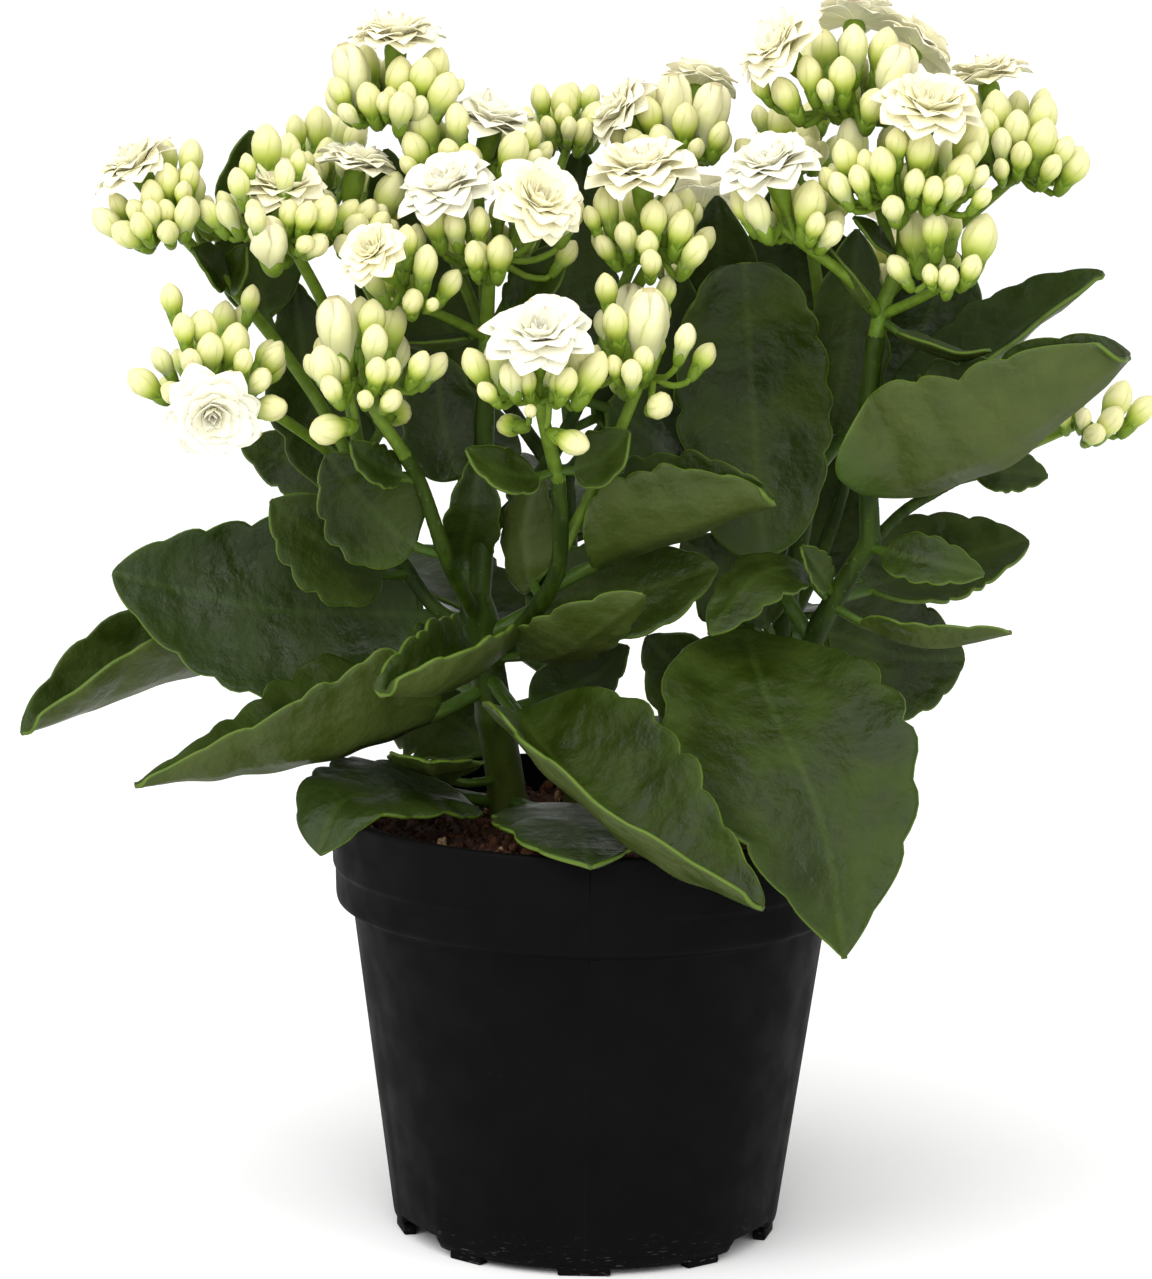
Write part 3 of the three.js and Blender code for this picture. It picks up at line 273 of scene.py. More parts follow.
seam_detail = [seam + fine for seam in SEAM_AZIMUTHS for fine in np.arange(-1.2, 1.21, 0.2)]
azimuths = np.unique(np.round(np.array([*np.arange(0, 360, SPOKE_STEP), *seam_detail]) % 360, 3))
profile = rounded(POT_PROFILE, 0.7)
radius, height = (np.repeat(column[:, None], len(azimuths), 1) for column in profile.T)
# Only the outer face of the wall carries the seams, and is a little out of round
seam = np.exp(-((angle_from(azimuths, SEAM_AZIMUTHS) / SEAM_HALF_ANGLE) ** 2))
outside = (radius > 43.5) & (height > 3) & (height < 99) & (radius > 44.5 + height * 0.135)
swing = SEAM_HEIGHT * seam + OUT_OF_ROUND * np.sin(np.radians(2 * azimuths + 40))
radius = radius + outside * swing[None]
cut = 1 / (1 + np.exp((angle_from(azimuths, NOTCH_AZIMUTHS) - NOTCH_HALF_ANGLE) / 0.35))
skirt = (radius > 41.6) & (height < 4.2)
height = np.where(skirt, height + (NOTCH_TOP - height) * cut[None], height)
around = np.radians(azimuths)[None]
pot_heap = Heap()
pot_points = np.stack([radius * np.sin(around), -radius * np.cos(around), height], -1)
pot_heap.put(pot_points, wrapped(len(profile), len(azimuths)))
for azimuth in FOOT_AZIMUTHS:
    foot, foot_faces = soft_box(9 if azimuth % 180 else 12, 3, 2.4, 0.5)
    pot_heap.put(turned_about(foot - [0, 42.7, 0], -azimuth), [[face] for face in foot_faces])

plastic = Finish("black_plastic", Specular_IOR_Level=0.04)
cloudy = plastic.speckle(28)
pot_black = plastic.mixed(cloudy, paint(6, 6, 6), paint(11, 11, 11))
scratches = plastic.speckle(3.2, 6, stretch=(1, 1, 9))
near_foot = plastic.graded(plastic.height(), 0.0, 0.012, 1.0, 0.0)
scuffs = plastic.times(plastic.graded(scratches, 0.62, 0.74), near_foot)
dust = plastic.graded(plastic.speckle(1.3, 2), 0.7, 0.8, 0.0, 0.12)
dusty = plastic.mixed(dust, pot_black, paint(58, 55, 50))
plastic.shade(Base_Color=plastic.mixed(scuffs, dusty, paint(96, 94, 90)))
plastic.shade(Roughness=plastic.graded(plastic.speckle(9), 0.3, 0.7, 0.55, 0.7))
plastic.relief(plastic.speckle(0.9, 2), 0.03, 0.35)
pot = pot_heap.make("nursery_pot", plastic)
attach(pot, "root")
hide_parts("pot")

# ----------------------------------------
# The potting mix: brown peat and bark crumbs, filled to 8 mm under the rim. A rough bed of it is
# strewn with loose crumbs of every size and a few pale grains.
MIX_SIDES = [(0.02, 5.3), (43.2, 5.3), (53, 76), (56.2, 81), (56.2, 90.5)]  # radius and height
MIX_TOP, MIX_REACH = 91.7, 55.2
BED_SPOKES = 120
CRUMB_SIZES = [(260, 1.2, 2.4, 2), (1500, 0.5, 1.3, 1)]  # how many, smallest, largest, roundness

draws = np.random.default_rng(7)
mix_heap = Heap()
bed = np.array([*MIX_SIDES, *[(r, MIX_TOP) for r in np.arange(55, 0.5, -1.2)], (0.02, MIX_TOP)])
spokes = np.arange(BED_SPOKES) / BED_SPOKES * 2 * math.pi
bed_radius, bed_height = (np.repeat(column[:, None], BED_SPOKES, 1) for column in bed.T)
bed_points = np.stack([bed_radius * np.sin(spokes), bed_radius * np.cos(spokes), bed_height], -1)
for point in bed_points[len(MIX_SIDES):].reshape(-1, 3):
    place = Vector(point)
    point[2] += 1.1 * noise.noise(place / 9) + 0.7 * noise.noise(place / 2.2)
mix_heap.put(bed_points, wrapped(len(bed), BED_SPOKES), tone=0.35)
for many, smallest, largest, roundness in CRUMB_SIZES:
    block = bmesh.new()
    bmesh.ops.create_icosphere(block, subdivisions=roundness, radius=1)
    ball, ball_faces = shape_of(block)
    for _ in range(many):
        spread, angle = MIX_REACH * math.sqrt(draws.random()), draws.random() * 2 * math.pi
        size = smallest + (largest - smallest) * draws.random() ** 2
        lumps = ball * (1 + 0.38 * (draws.random((len(ball), 1)) - 0.5))
        spin = np.array(Euler(draws.random(3) * 6.3).to_matrix())
        crumb = (lumps * [1, 0.55 + 0.4 * draws.random(), 0.5]) @ spin * size
        place = [spread * math.sin(angle), spread * math.cos(angle), MIX_TOP + 0.5 * size]
        mix_heap.put(crumb + place, [ball_faces], tone=draws.random())

peat = Finish("peat_crumbs", Roughness=0.92, Specular_IOR_Level=0.25)
tone = peat.mark("tone")
dark_mix = peat.mixed(peat.graded(tone, 0.1, 0.8), paint(46, 28, 20), paint(104, 66, 42))
pale_mix = peat.mixed(peat.graded(tone, 0.93, 0.97), dark_mix, paint(168, 138, 104))
damp = peat.graded(peat.speckle(0.8), 0.35, 0.7)
peat.shade(Base_Color=peat.mixed(damp, pale_mix, paint(58, 34, 23)))
peat.relief(peat.speckle(0.5, 4), 0.25, 0.9)
mix = mix_heap.make("peat_bed", peat)
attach(mix, "root")
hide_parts("potting_mix")

# ----------------------------------------
# The stems: fleshy green shoots that stand in the mix, fork at the leaf joints and thin out towards
# the flowers. Each shoot and its side shoots are grown together, with a faint swelling at each joint.
STEMS = {  # each shoot's path from its root end, and its first and last radius
    "stem_left": [
        ([(-19, 15, 74), (-19, 14, 92), (-23, 7, 120), (-27, 6, 144)], (4.8, 4.2)),
        ([(-27, 6, 142), (-26, 9, 160), (-26, 8, 180), (-25.5, 5, 204)], (2.9, 2.1)),
        ([(-26, 6, 140), (-35, 9, 142), (-43, 12, 151), (-54, 14, 172)], (1.9, 1.6)),
        ([(-27, 4, 142), (-30, 0, 148), (-34, -6, 158), (-40, -12, 176), (-43, -15, 182)], (2, 1.7)),
        ([(-23, 4, 132), (-17, -3, 141), (-10, -10, 152), (-8, -13, 160), (-8.5, -20, 178)], (2.3, 1.8)),
        ([(-26, 9, 160), (-12, 14, 176), (-2, 14, 196)], (1.9, 1.7)),
    ],
    "stem_right": [
        ([(47, 6, 74), (48, 6, 118), (50, 5, 136), (55, 2, 148), (63, 0, 162)], (2.9, 2.5)),
        ([(63, 0, 161), (61.5, 0, 190), (63, 0, 209)], (2.5, 2.1)),
        ([(63, 1, 161), (72, 12, 168), (86, 20, 175)], (1.6, 1.4)),
    ],
    "stem_back": [
        ([(38, 25, 74), (41, 24, 110), (44, 25, 136), (48, 26, 160), (52, 26, 190)], (3.4, 2.2)),
        ([(44, 25, 134), (56, 38, 160), (64, 46, 196)], (2, 1.6)),
    ],
    "stem_behind": [
        ([(-2, 36, 74), (-4, 36, 104), (-6, 40, 140), (-8, 46, 170)], (3.6, 2.6)),
        ([(-8, 46, 168), (-24, 52, 190), (-32, 56, 206)], (2, 1.6)),
        ([(-8, 46, 168), (8, 54, 190), (18, 60, 208)], (2, 1.6)),
    ],
}
JOINT_SPACING, JOINT_LENGTH, JOINT_SWELLING = 23, 1.6, 0.1
LIDS = [80, 50, 22]  # the rings of a rounded end, in degrees from the rim
ASKEW = [0.31, 0.53, 0.79]  # no stem runs this way
MELT_VOXEL, SMOOTHING_ROUNDS = 0.72, 4


def smooth_path(path, shares):
    """Points and directions at these shares of the length of a smooth curve through a path."""
    knots = [np.array(point, float) for point in path]
    knots = [2 * knots[0] - knots[1], *knots, 2 * knots[-1] - knots[-2]]
    t = np.linspace(0, 1, 33)[:-1, None]
    dense = []
    for a, b, c, d in zip(knots, knots[1:], knots[2:], knots[3:]):
        ab, bc, cd = (math.sqrt(np.linalg.norm(q - p)) for p, q in ((a, b), (b, c), (c, d)))
        leave = ((b - a) / ab - (c - a) / (ab + bc) + (c - b) / bc) * bc
        arrive = ((c - b) / bc - (d - b) / (bc + cd) + (d - c) / cd) * bc
        dense.append(
            (2 * t**3 - 3 * t**2 + 1) * b + (t**3 - 2 * t**2 + t) * leave
            + (3 * t**2 - 2 * t**3) * c + (t**3 - t**2) * arrive
        )
    line = np.vstack([*dense, knots[-2]])
    steps = np.linalg.norm(np.diff(line, axis=0), axis=1)
    way = np.concatenate([[0], np.cumsum(steps)]) / steps.sum()
    points = np.stack([np.interp(shares, way, column) for column in line.T], -1)
    ahead = np.stack([np.interp(np.clip(shares + 0.01, 0, 1), way, column) for column in line.T], -1)
    behind = np.stack([np.interp(np.clip(shares - 0.01, 0, 1), way, column) for column in line.T], -1)
    headings = ahead - behind
    return points, headings / np.linalg.norm(headings, axis=1)[:, None], steps.sum()


def hoop(centre, radius, turn, across, other):
    """Points round a centre, at these angles."""
    return centre + np.outer(radius * np.cos(turn), across) + np.outer(radius * np.sin(turn), other)


def tube(heap, path, radii, sides=12, step=2.0, joints=False, **marks):
    """Adds a round stem with rounded ends, whose radius runs through the given ones."""
    length = smooth_path(path, np.array([0.0, 1.0]))[2]
    shares = np.linspace(0, 1, max(4, round(length / step)) + 1)
    points, headings, _ = smooth_path(path, shares)
    size = np.interp(shares, np.linspace(0, 1, len(radii)), radii)
    if joints:
        apart = (shares * length + JOINT_SPACING / 2) % JOINT_SPACING - JOINT_SPACING / 2
        size = size * (1 + JOINT_SWELLING * np.exp(-((apart / JOINT_LENGTH) ** 2)))
    lids = np.radians(LIDS)
    start = [points[0] - headings[0] * size[0] * math.sin(a) for a in lids]
    end = [points[-1] + headings[-1] * size[-1] * math.sin(a) for a in lids[::-1]]
    points = np.vstack([start, points, end])
    headings = np.vstack([headings[:1]] * 3 + [headings] + [headings[-1:]] * 3)
    size = np.concatenate([size[0] * np.cos(lids), size, size[-1] * np.cos(lids[::-1])])
    shares = np.concatenate([[0] * 3, shares, [1] * 3])
    across = np.cross(headings[0], ASKEW)
    turn = np.arange(sides) / sides * 2 * math.pi
    rings = []
    for point, heading, radius in zip(points, headings, size):
        across = across - across.dot(heading) * heading
        across = across / np.linalg.norm(across)
        rings.append(hoop(point, radius, turn, across, np.cross(heading, across)))
    for mark, value in marks.items():
        if callable(value):
            marks[mark] = np.repeat(value(shares), sides)
    heap.put(rings, wrapped(len(rings), sides), **marks)


def grown_together(piece, voxel, rounds):
    """Melts the overlapping shapes of a piece into one skin, with soft hollows where they meet."""
    remesh = piece.modifiers.new("grown_together", "REMESH")
    remesh.mode, remesh.voxel_size, remesh.use_smooth_shade = "VOXEL", voxel / 1000, True
    soften = piece.modifiers.new("softened", "SMOOTH")
    soften.factor, soften.iterations = 0.5, rounds
    shape = bpy.data.meshes.new_from_object(piece.evaluated_get(bpy.context.evaluated_depsgraph_get()))
    piece.modifiers.clear()
    finish = piece.data.materials[0]
    piece.data = shape
    shape.materials.clear()
    shape.materials.append(finish)
    return piece


stem_skin = Finish("stem_skin", Roughness=0.5, Specular_IOR_Level=0.12)
streaks = stem_skin.speckle(3.5, 4, stretch=(1, 1, 0.18))
fresh = stem_skin.mixed(stem_skin.graded(streaks, 0.35, 0.65), paint(29, 44, 4), paint(47, 65, 10))
woody = stem_skin.graded(stem_skin.height(), 0.092, 0.128, 0.55, 0.0)
aged = stem_skin.mixed(woody, fresh, paint(74, 80, 34))
flecks = stem_skin.graded(stem_skin.speckle(0.9, 2), 0.66, 0.74, 0.0, 0.3)
stem_skin.shade(Base_Color=stem_skin.mixed(flecks, aged, paint(116, 128, 66)))
stem_skin.relief(streaks, 0.25, 0.5)
for name, shoots in STEMS.items():
    stem_heap = Heap()
    for path, radii in shoots:
        tube(stem_heap, path, radii, sides=16, step=1.2, joints=True)
    stem = grown_together(stem_heap.make("shoots_" + name, stem_skin), MELT_VOXEL, SMOOTHING_ROUNDS)
    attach(stem, "root")
    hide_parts(name)

# ----------------------------------------
# The leaves: thick, waxy and spoon-shaped, on short channelled stalks that grow from the stems. They
# are deep green with a bluish sheen above, paler below, and the scalloped margin has a light edge.
LEAVES = {  # path from stem to tip; the way the upper face looks; the fold's angles, right and left
    "leaf_left_broad": dict(path=[(-27, 7, 140), (-42, 19, 140), (-76, 18, 141), (-112, 12, 150)],
        width=46, top=(0, -1, 0.4), fold=(8, 4), lobes=5),
    "leaf_left_low": dict(path=[(-22, 9, 121), (-50, 33, 129), (-90, 34, 125), (-132.5, 6, 113)],
        width=46, top=(0, -0.15, 1), fold=(46, 58), lobes=5, broad=0.85),
    "leaf_front_left": dict(path=[(-24, 6, 126), (-38, -3, 120), (-63, -17, 113), (-102, -36, 110)],
        width=60, top=(-0.1, -0.35, 0.9), fold=(14, 76), lobes=5, broad=0.42, power=0.9),
    "leaf_cupped": dict(path=[(-25, 6, 135), (-25, -9, 134), (-34, -30, 132), (-47, -44, 133)],
        width=32, top=(0, -0.1, 1), fold=(66, 54), power=0.45),
    "leaf_over_rim_left": dict(
        path=[(-20, 16, 96), (-34, 2, 101), (-47, -13, 104), (-57, -25, 103), (-61, -32, 94)],
        width=38, top=(-0.1, -0.45, 0.88), fold=(4, 8), curl=-8, petiole=0.25, broad=0.62),
    "leaf_over_rim_front": dict(path=[(-19, 13, 97), (-11, -14, 101), (-4, -42, 103.4), (0, -71, 101)],
        width=34, top=(0, -0.1, 1), fold=(0, 0), curl=4, broad=1.05),
    "leaf_front": dict(path=[(-24, 6, 128), (-15, -22, 122), (-2, -46, 112), (17, -70, 101), (37, -86, 96)],
        width=50, top=(0, 0, 1), fold=(40, 50), lobes=5, power=0.7),
    "leaf_front_right": dict(
        path=[(43, 24, 131), (36, 8, 140), (38, -20, 132), (51, -50, 106), (56, -62, 79)],
        width=57, top=(0.05, -0.8, 0.6), fold=(10, 6), lobes=5, broad=0.88, power=0.9),
    "leaf_right_big": dict(path=[(63, 0, 174), (73, -8, 175), (94, -16, 185), (118, -24, 208)],
        width=62, top=(-0.3, 0, 1), fold=(68, 62), lobes=3, petiole=0.06, broad=0.5, power=0.42),
    "leaf_right_top": dict(path=[(63, 1, 178), (76, 15, 191), (95, 18, 207), (116, 16, 223)],
        width=30, top=(-0.5, -0.6, 0.7), fold=(40, 14)),
    "leaf_behind_right_stem": dict(path=[(52, 26, 176), (62, 32, 188), (74, 34, 204), (83, 34, 226)],
        width=38, top=(0.1, -1, 0.2), fold=(8, 8)),
    "leaf_round_upright": dict(path=[(50, 5, 138), (40, 10, 156), (36, 14, 190), (33, 4, 225)],
        width=38, top=(0, -1, 0.1), fold=(10, 10), lobes=5, petiole=0.24, broad=1.1, power=0.32),
    "leaf_middle_pale": dict(path=[(-10, -10, 152), (-2, -8, 156), (14, -12, 163), (40, -18, 174)],
        width=44, top=(0, 0, 1), fold=(60, 74)),
    "leaf_middle_dark": dict(path=[(-25, 5, 138), (-8, 2, 147), (10, -2, 150), (28, -2, 156)],
        width=28, top=(0, -0.8, 0.6), fold=(6, 6)),
    "leaf_right_low": dict(path=[(56, 2, 149), (68, 16, 150), (84, 26, 154), (102, 30, 158)],
        width=30, top=(-0.1, -0.7, 0.7), fold=(14, 10)),
    "leaf_right_lowest": dict(path=[(46, 25, 136), (58, 28, 135), (73, 31, 130), (88, 34, 129)],
        width=36, top=(0.1, -0.95, 0.3), fold=(10, 10)),
    "leaf_back_left": dict(path=[(-5, 38, 120), (-26, 48, 132), (-46, 62, 142), (-72, 74, 138)],
        width=44, top=(0, 0.1, 1), fold=(20, 20)),
    "leaf_back_middle": dict(path=[(-7, 42, 148), (-6, 54, 156), (-4, 70, 164), (0, 86, 160)],
        width=40, top=(0, 0.1, 1), fold=(24, 24)),
    "leaf_back_right": dict(path=[(44, 25, 136), (50, 50, 138), (56, 70, 134), (64, 85, 122)],
        width=42, top=(0.1, 0.1, 1), fold=(18, 18)),
}
MARGIN_ROUNDING = 0.7
TIP_HALF_WIDTH = 0.7
OUTLINE_POWER = 0.62  # lower is fuller
TEETH_A_LOBE = 1.7
RIPPLE, SWELLING = 0.03, 0.02  # in widths of the leaf
FLESH_HEIGHT = 0.12
GROOVE_DEPTH, GROOVE_WIDTH = 0.3, 1.1
RIB_HEIGHT, RIB_WIDTH = 0.9, 1.3
SIDE_VEINS, VEIN_SLANT = 6.5, 1.5


def eased(value, start, end):
    t = np.clip((value - start) / (end - start), 0, 1)
    return t * t * (3 - 2 * t)


def blade(heap, path, width, top, fold=(12, 12), curl=12, lobes=4, petiole=0.2, broad=0.75,
          power=OUTLINE_POWER, notch=0.115, thickness=1.3, stalk=1.8, rows=60, fineness=10, seed=0.0):
    """Adds a leaf, as rows from the stalk to the tip and columns from margin to margin. at is how far up
    the blade each row lies, and body is how much of it is still stalk."""
    run = np.linspace(0, 1, rows)
    on_blade = petiole + (1 - petiole) * (1 - np.cos(math.pi * run[1:])) / 2
    shares = np.sort(np.concatenate([run * petiole, on_blade]))
    points, headings, _ = smooth_path(path, shares)
    at = np.clip((shares - petiole) / (1 - petiole), 0, 1)
    drift = np.array([noise.noise(Vector((4 * share, seed, 3.3))) for share in at])
    swell = np.sin(math.pi * at**broad).clip(0) ** power
    body = np.clip(1 - shares / (petiole + 0.12), 0, 1)
    flat = (1 - body)[:, None]
    face = np.array(top, float) - (headings @ np.array(top, float))[:, None] * headings
    face = face / np.linalg.norm(face, axis=1)[:, None]
    side = np.cross(headings, face)
    reach = np.sin(np.linspace(0, math.pi / 2, fineness)) ** 0.9
    columns = np.concatenate([-reach[:0:-1], reach])
    middle = np.zeros((len(shares), len(columns), 3))
    half = np.zeros((len(shares), len(columns)))
    least = np.where(at < 0.5, stalk, TIP_HALF_WIDTH)
    folded = (1 - body) * (1 - eased(at, 0.96, 1.0))
    bend = math.radians(curl) * folded
    for j, column in enumerate(columns):
        hand, far = (-1 if column < 0 else 1), abs(column)
        # The scallops of the two margins are out of step, and not quite evenly spaced
        beat = round(TEETH_A_LOBE * lobes) * (at * 0.94 + 0.03) + 0.32 * drift * hand
        beat = beat + (0.35 if hand > 0 else 0)
        teeth = 1 - notch * (1 - np.abs(np.sin(math.pi * beat)) ** 0.6) * eased(at, 0.08, 0.3)
        half[:, j] = np.maximum(width / 2 * swell * teeth, least)
        # Each half rises from the midrib by its fold, and curls back towards its margin
        t = far * (np.arange(24) + 0.5) / 24
        lift = math.radians(fold[1 if hand < 0 else 0]) * folded
        lean = (lift[:, None] + bend[:, None] * (1.5 * eased(t, 0.2, 0.9) - 0.5)) * eased(t, 0.02, 0.14)
        out, rise = far * np.cos(lean).mean(1), far * np.sin(lean).mean(1)
        ripple = RIPPLE * width * far**3 * np.sin(math.pi * beat + seed) * (1 - body) * swell
        lifted = rise * half[:, j] + 0.5 * ripple
        middle[:, j] = points + side * (hand * out * half[:, j])[:, None] + face * lifted[:, None]
    normal = np.cross(np.gradient(middle, axis=1), np.gradient(middle, axis=0))
    normal = normal / np.maximum(np.linalg.norm(normal, axis=2), 1e-9)[:, :, None]
    # The flesh between the side veins stands a little proud, and the midrib lies in a groove
    spread = np.abs(columns)[None]
    vein = (SIDE_VEINS * at + 0.6 * drift)[:, None] - VEIN_SLANT * spread
    flesh = FLESH_HEIGHT * np.abs(np.sin(math.pi * vein)) ** 0.7
    waves = np.array([[noise.noise(Vector(p / 11)) for p in row] for row in middle])
    groove = GROOVE_DEPTH * np.exp(-((spread * half / GROOVE_WIDTH) ** 2))
    calm = eased(1 - spread, 0.0, 0.25)
    middle = middle + normal * (flat * (calm * (SWELLING * width * waves + flesh) - groove))[:, :, None]
    rim = (1 - spread) * half
    blade_thick = thickness * np.sqrt(1 - (1 - np.clip(rim / MARGIN_ROUNDING, 0, 1)) ** 2)
    stalk_thick = 2 * stalk * np.sqrt(np.clip(1 - spread**2, 0, 1))
    thick = blade_thick * flat + stalk_thick * (1 - flat)
    rib = RIB_HEIGHT * np.exp(-((spread * half / RIB_WIDTH) ** 2)) * flat * (1 - eased(at, 0.5, 1.0))[:, None]
    upper = middle + normal * (thick / 2)[:, :, None]
    lower = middle - normal * (thick / 2 + rib)[:, :, None]

    def both(above, below):
        return np.concatenate([above, below[:, -2:0:-1]], axis=1)

    ring = both(upper, lower)
    full = np.ones_like(half)
    upside = both(full, 0 * full)
    upside[:, [0, len(columns) - 1]] = 0.5
    heap.put(
        ring, wrapped(len(shares), ring.shape[1]), upper=upside.ravel(), rim=both(rim, rim).ravel(),
        rib=both(spread * half, spread * half).ravel(), vein=both(vein, vein).ravel(),
        stalk=np.repeat(body, ring.shape[1]), tone=(math.sin(seed * 12.9898) * 43758.5453) % 1,
    )


waxy = Finish("waxy_leaf", Specular_IOR_Level=0.2)
clouds, grain = waxy.speckle(14), waxy.speckle(0.7)
deep = waxy.mixed(waxy.graded(clouds, 0.3, 0.7), paint(30, 42, 3), paint(47, 62, 8))
bluish = waxy.mixed(waxy.graded(waxy.mark("tone"), 0.3, 1.0, 0.0, 0.5), deep, paint(36, 51, 17))
vein_beat = waxy.times(waxy.mark("vein"), math.pi)
vein_gap = waxy.add("Math", waxy.add("Math", vein_beat, operation="SINE"), operation="ABSOLUTE")
side_vein = waxy.graded(vein_gap, 0.0, 0.2, 0.03, 0.0)
midrib = waxy.graded(waxy.mark("rib"), 0.2, 1.4, 0.14, 0.0)
veins = waxy.add("Math", side_vein, midrib, operation="MAXIMUM")
top_green = waxy.mixed(veins, bluish, paint(80, 102, 40))
pale = waxy.mixed(waxy.graded(clouds, 0.3, 0.7), paint(54, 66, 22), paint(68, 80, 32))
under_green = waxy.mixed(veins, pale, paint(102, 116, 64))
faces = waxy.mixed(waxy.graded(waxy.mark("upper"), 0.3, 0.7), under_green, top_green)
glow = waxy.mixed(waxy.graded(waxy.mark("rim"), 0.6, 4.0, 0.08, 0.0), faces, paint(66, 92, 22))
edged = waxy.mixed(waxy.graded(waxy.mark("rim"), 0.05, 0.3, 0.5, 0.0), glow, paint(100, 128, 38))
stalked = waxy.mixed(waxy.graded(waxy.mark("stalk"), 0.1, 0.7), edged, paint(54, 78, 16))
dotted = waxy.mixed(waxy.graded(grain, 0.62, 0.8, 0.0, 0.22), stalked, paint(78, 94, 44))
waxy.shade(Base_Color=dotted, Roughness=waxy.graded(clouds, 0.35, 0.65, 0.3, 0.56))
waxy.relief(waxy.speckle(5.5, 6), 1.7, 0.7)
for number, (name, shape) in enumerate(LEAVES.items()):
    leaf_heap = Heap()
    blade(leaf_heap, **shape, seed=number + 0.37)
    leaf = leaf_heap.make("waxy_" + name, waxy)
    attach(leaf, "root")
    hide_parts(name)

# ----------------------------------------
# The young leaves: the same leaf up the flower stems, still small and thin, with fewer and deeper
# scallops. They sit on the stems in pairs, or grow between the large ones.
SMALL_LEAVES = {
    "stem_left": [
        dict(path=[(-22, 3, 133), (-9, -14, 138), (0, -25, 145), (11, -30, 154)], width=22,
             top=(-0.2, 0.9, 0.45)),
        dict(path=[(-43, 12, 151), (-50, 6, 152), (-60, 0, 158), (-74, -5, 170)], width=26,
             top=(-0.2, -0.9, 0.45)),
        dict(path=[(-34, -6, 158), (-42, -7, 161), (-50, -8, 168), (-61, -14, 182)], width=27,
             top=(-0.3, -0.8, 0.5)),
        dict(path=[(-20, 12, 103), (-29, 2, 104), (-35, -8, 108), (-37, -25, 114)], width=24,
             top=(0.1, 0.5, 0.9), petiole=0.45),
        dict(path=[(-12, -7, 148), (-15, 4, 154), (-16, 6, 164), (-13, 5, 176)], width=15, top=(0.4, 1, 0),
             fold=(10, 20)),
        dict(path=[(-27, 8, 168), (-33, 8, 178), (-36, 8, 190), (-37, 5, 204)], width=22, top=(0.1, -1, 0.2)),
        dict(path=[(-27, 6, 146), (-30, 10, 154), (-28, 3, 168), (-27, 2, 181)], width=15, top=(0.2, -1, 0.1),
             fold=(24, 10)),
        dict(path=[(-52, 14, 170), (-62, 26, 172), (-73, 33, 174), (-84, 35, 178)], width=20,
             top=(-0.2, -0.8, 0.6)),
        dict(path=[(-48, 13, 160), (-56, 23, 170), (-67, 28, 190), (-71, 27, 217)], width=24,
             top=(0.1, -1, 0.2)),
        dict(path=[(-40, -12, 176), (-46, -14, 178), (-52, -19, 182), (-55, -22, 186)], width=11,
             top=(0.2, -0.9, 0.5)),
        dict(path=[(-8, 13, 184), (4, 22, 190), (14, 24, 204), (20, 22, 220)], width=26, top=(0, -1, 0.1)),
        dict(path=[(-20, 10, 120), (-10, 16, 122), (0, 18, 126), (8, 16, 134)], width=17, top=(0, -0.8, 0.6)),
        dict(path=[(-7, 14, 187), (-9, 30, 206), (-6, 38, 229), (-5, 40, 248)], width=26, top=(0, -1, 0.1)),
        dict(path=[(-26, 8, 178), (-34, 20, 206), (-46, 28, 227), (-50, 28, 248)], width=26,
             top=(0, -1, 0.1)),
        dict(path=[(-20, 16, 102), (-28, 28, 110), (-40, 38, 114), (-54, 44, 112)], width=30,
             top=(0, -0.9, 0.5)),
        dict(path=[(-4, 14, 192), (6, 18, 188), (16, 18, 180), (26, 16, 174)], width=24, top=(0, -1, 0.3)),
    ],
    "stem_right": [
        dict(path=[(54, 2, 147), (64, -4, 143), (76, -12, 141), (94, -20, 145)], width=14, top=(0, 0.5, 0.9),
             fold=(20, 20)),
        dict(path=[(54, 2, 148), (46, -4, 156), (37, -10, 155), (26, -18, 143)], width=18, top=(0, -0.5, 0.9),
             fold=(-10, -10)),
        dict(path=[(62, 0, 161), (70, -8, 160), (78, -12, 159), (88, -14, 157)], width=13,
             top=(0, -0.9, 0.4)),
        dict(path=[(55, 2, 149), (51, -5, 156), (47, -9, 162)], width=9, top=(0.4, -0.9, 0.4)),
        dict(path=[(47, 6, 112), (36, 8, 118), (24, 8, 126), (12, 6, 138)], width=28, top=(0, -1, 0.3)),
        dict(path=[(84, 18, 174), (91, 18, 176), (98, 19, 176), (105, 20, 175)], width=12,
             top=(0, -0.9, 0.4)),
    ],
    "stem_back": [
        dict(path=[(49, 26, 174), (55, 20, 190), (58, 19, 212), (59, 17, 232)], width=22, top=(0, -1, 0.1)),
        dict(path=[(51, 26, 180), (52, 36, 194), (48, 43, 216), (44, 43, 243)], width=34, top=(0, -1, 0.1)),
        dict(path=[(47, 26, 156), (38, 32, 178), (30, 35, 208), (27, 33, 238)], width=28, top=(0, -1, 0.1)),
        dict(path=[(44, 25, 132), (38, 20, 142), (29, 15, 152), (20, 12, 160)], width=24, top=(0, -1, 0.2)),
        dict(path=[(45, 26, 145), (50, 42, 154), (52, 50, 166), (54, 54, 182)], width=34, top=(0, -1, 0.15)),
    ],
    "stem_behind": [
        dict(path=[(-3, 36, 102), (6, 48, 107), (14, 62, 108), (20, 80, 96)], width=36, top=(0, 0.1, 1)),
        dict(path=[(-8, 46, 164), (-26, 54, 172), (-48, 62, 184), (-66, 66, 198)], width=32,
             top=(0.2, -0.6, 0.8)),
        dict(path=[(-22, 51, 188), (-36, 52, 200), (-48, 52, 212), (-56, 52, 226)], width=24,
             top=(0, -1, 0.1)),
    ],
}


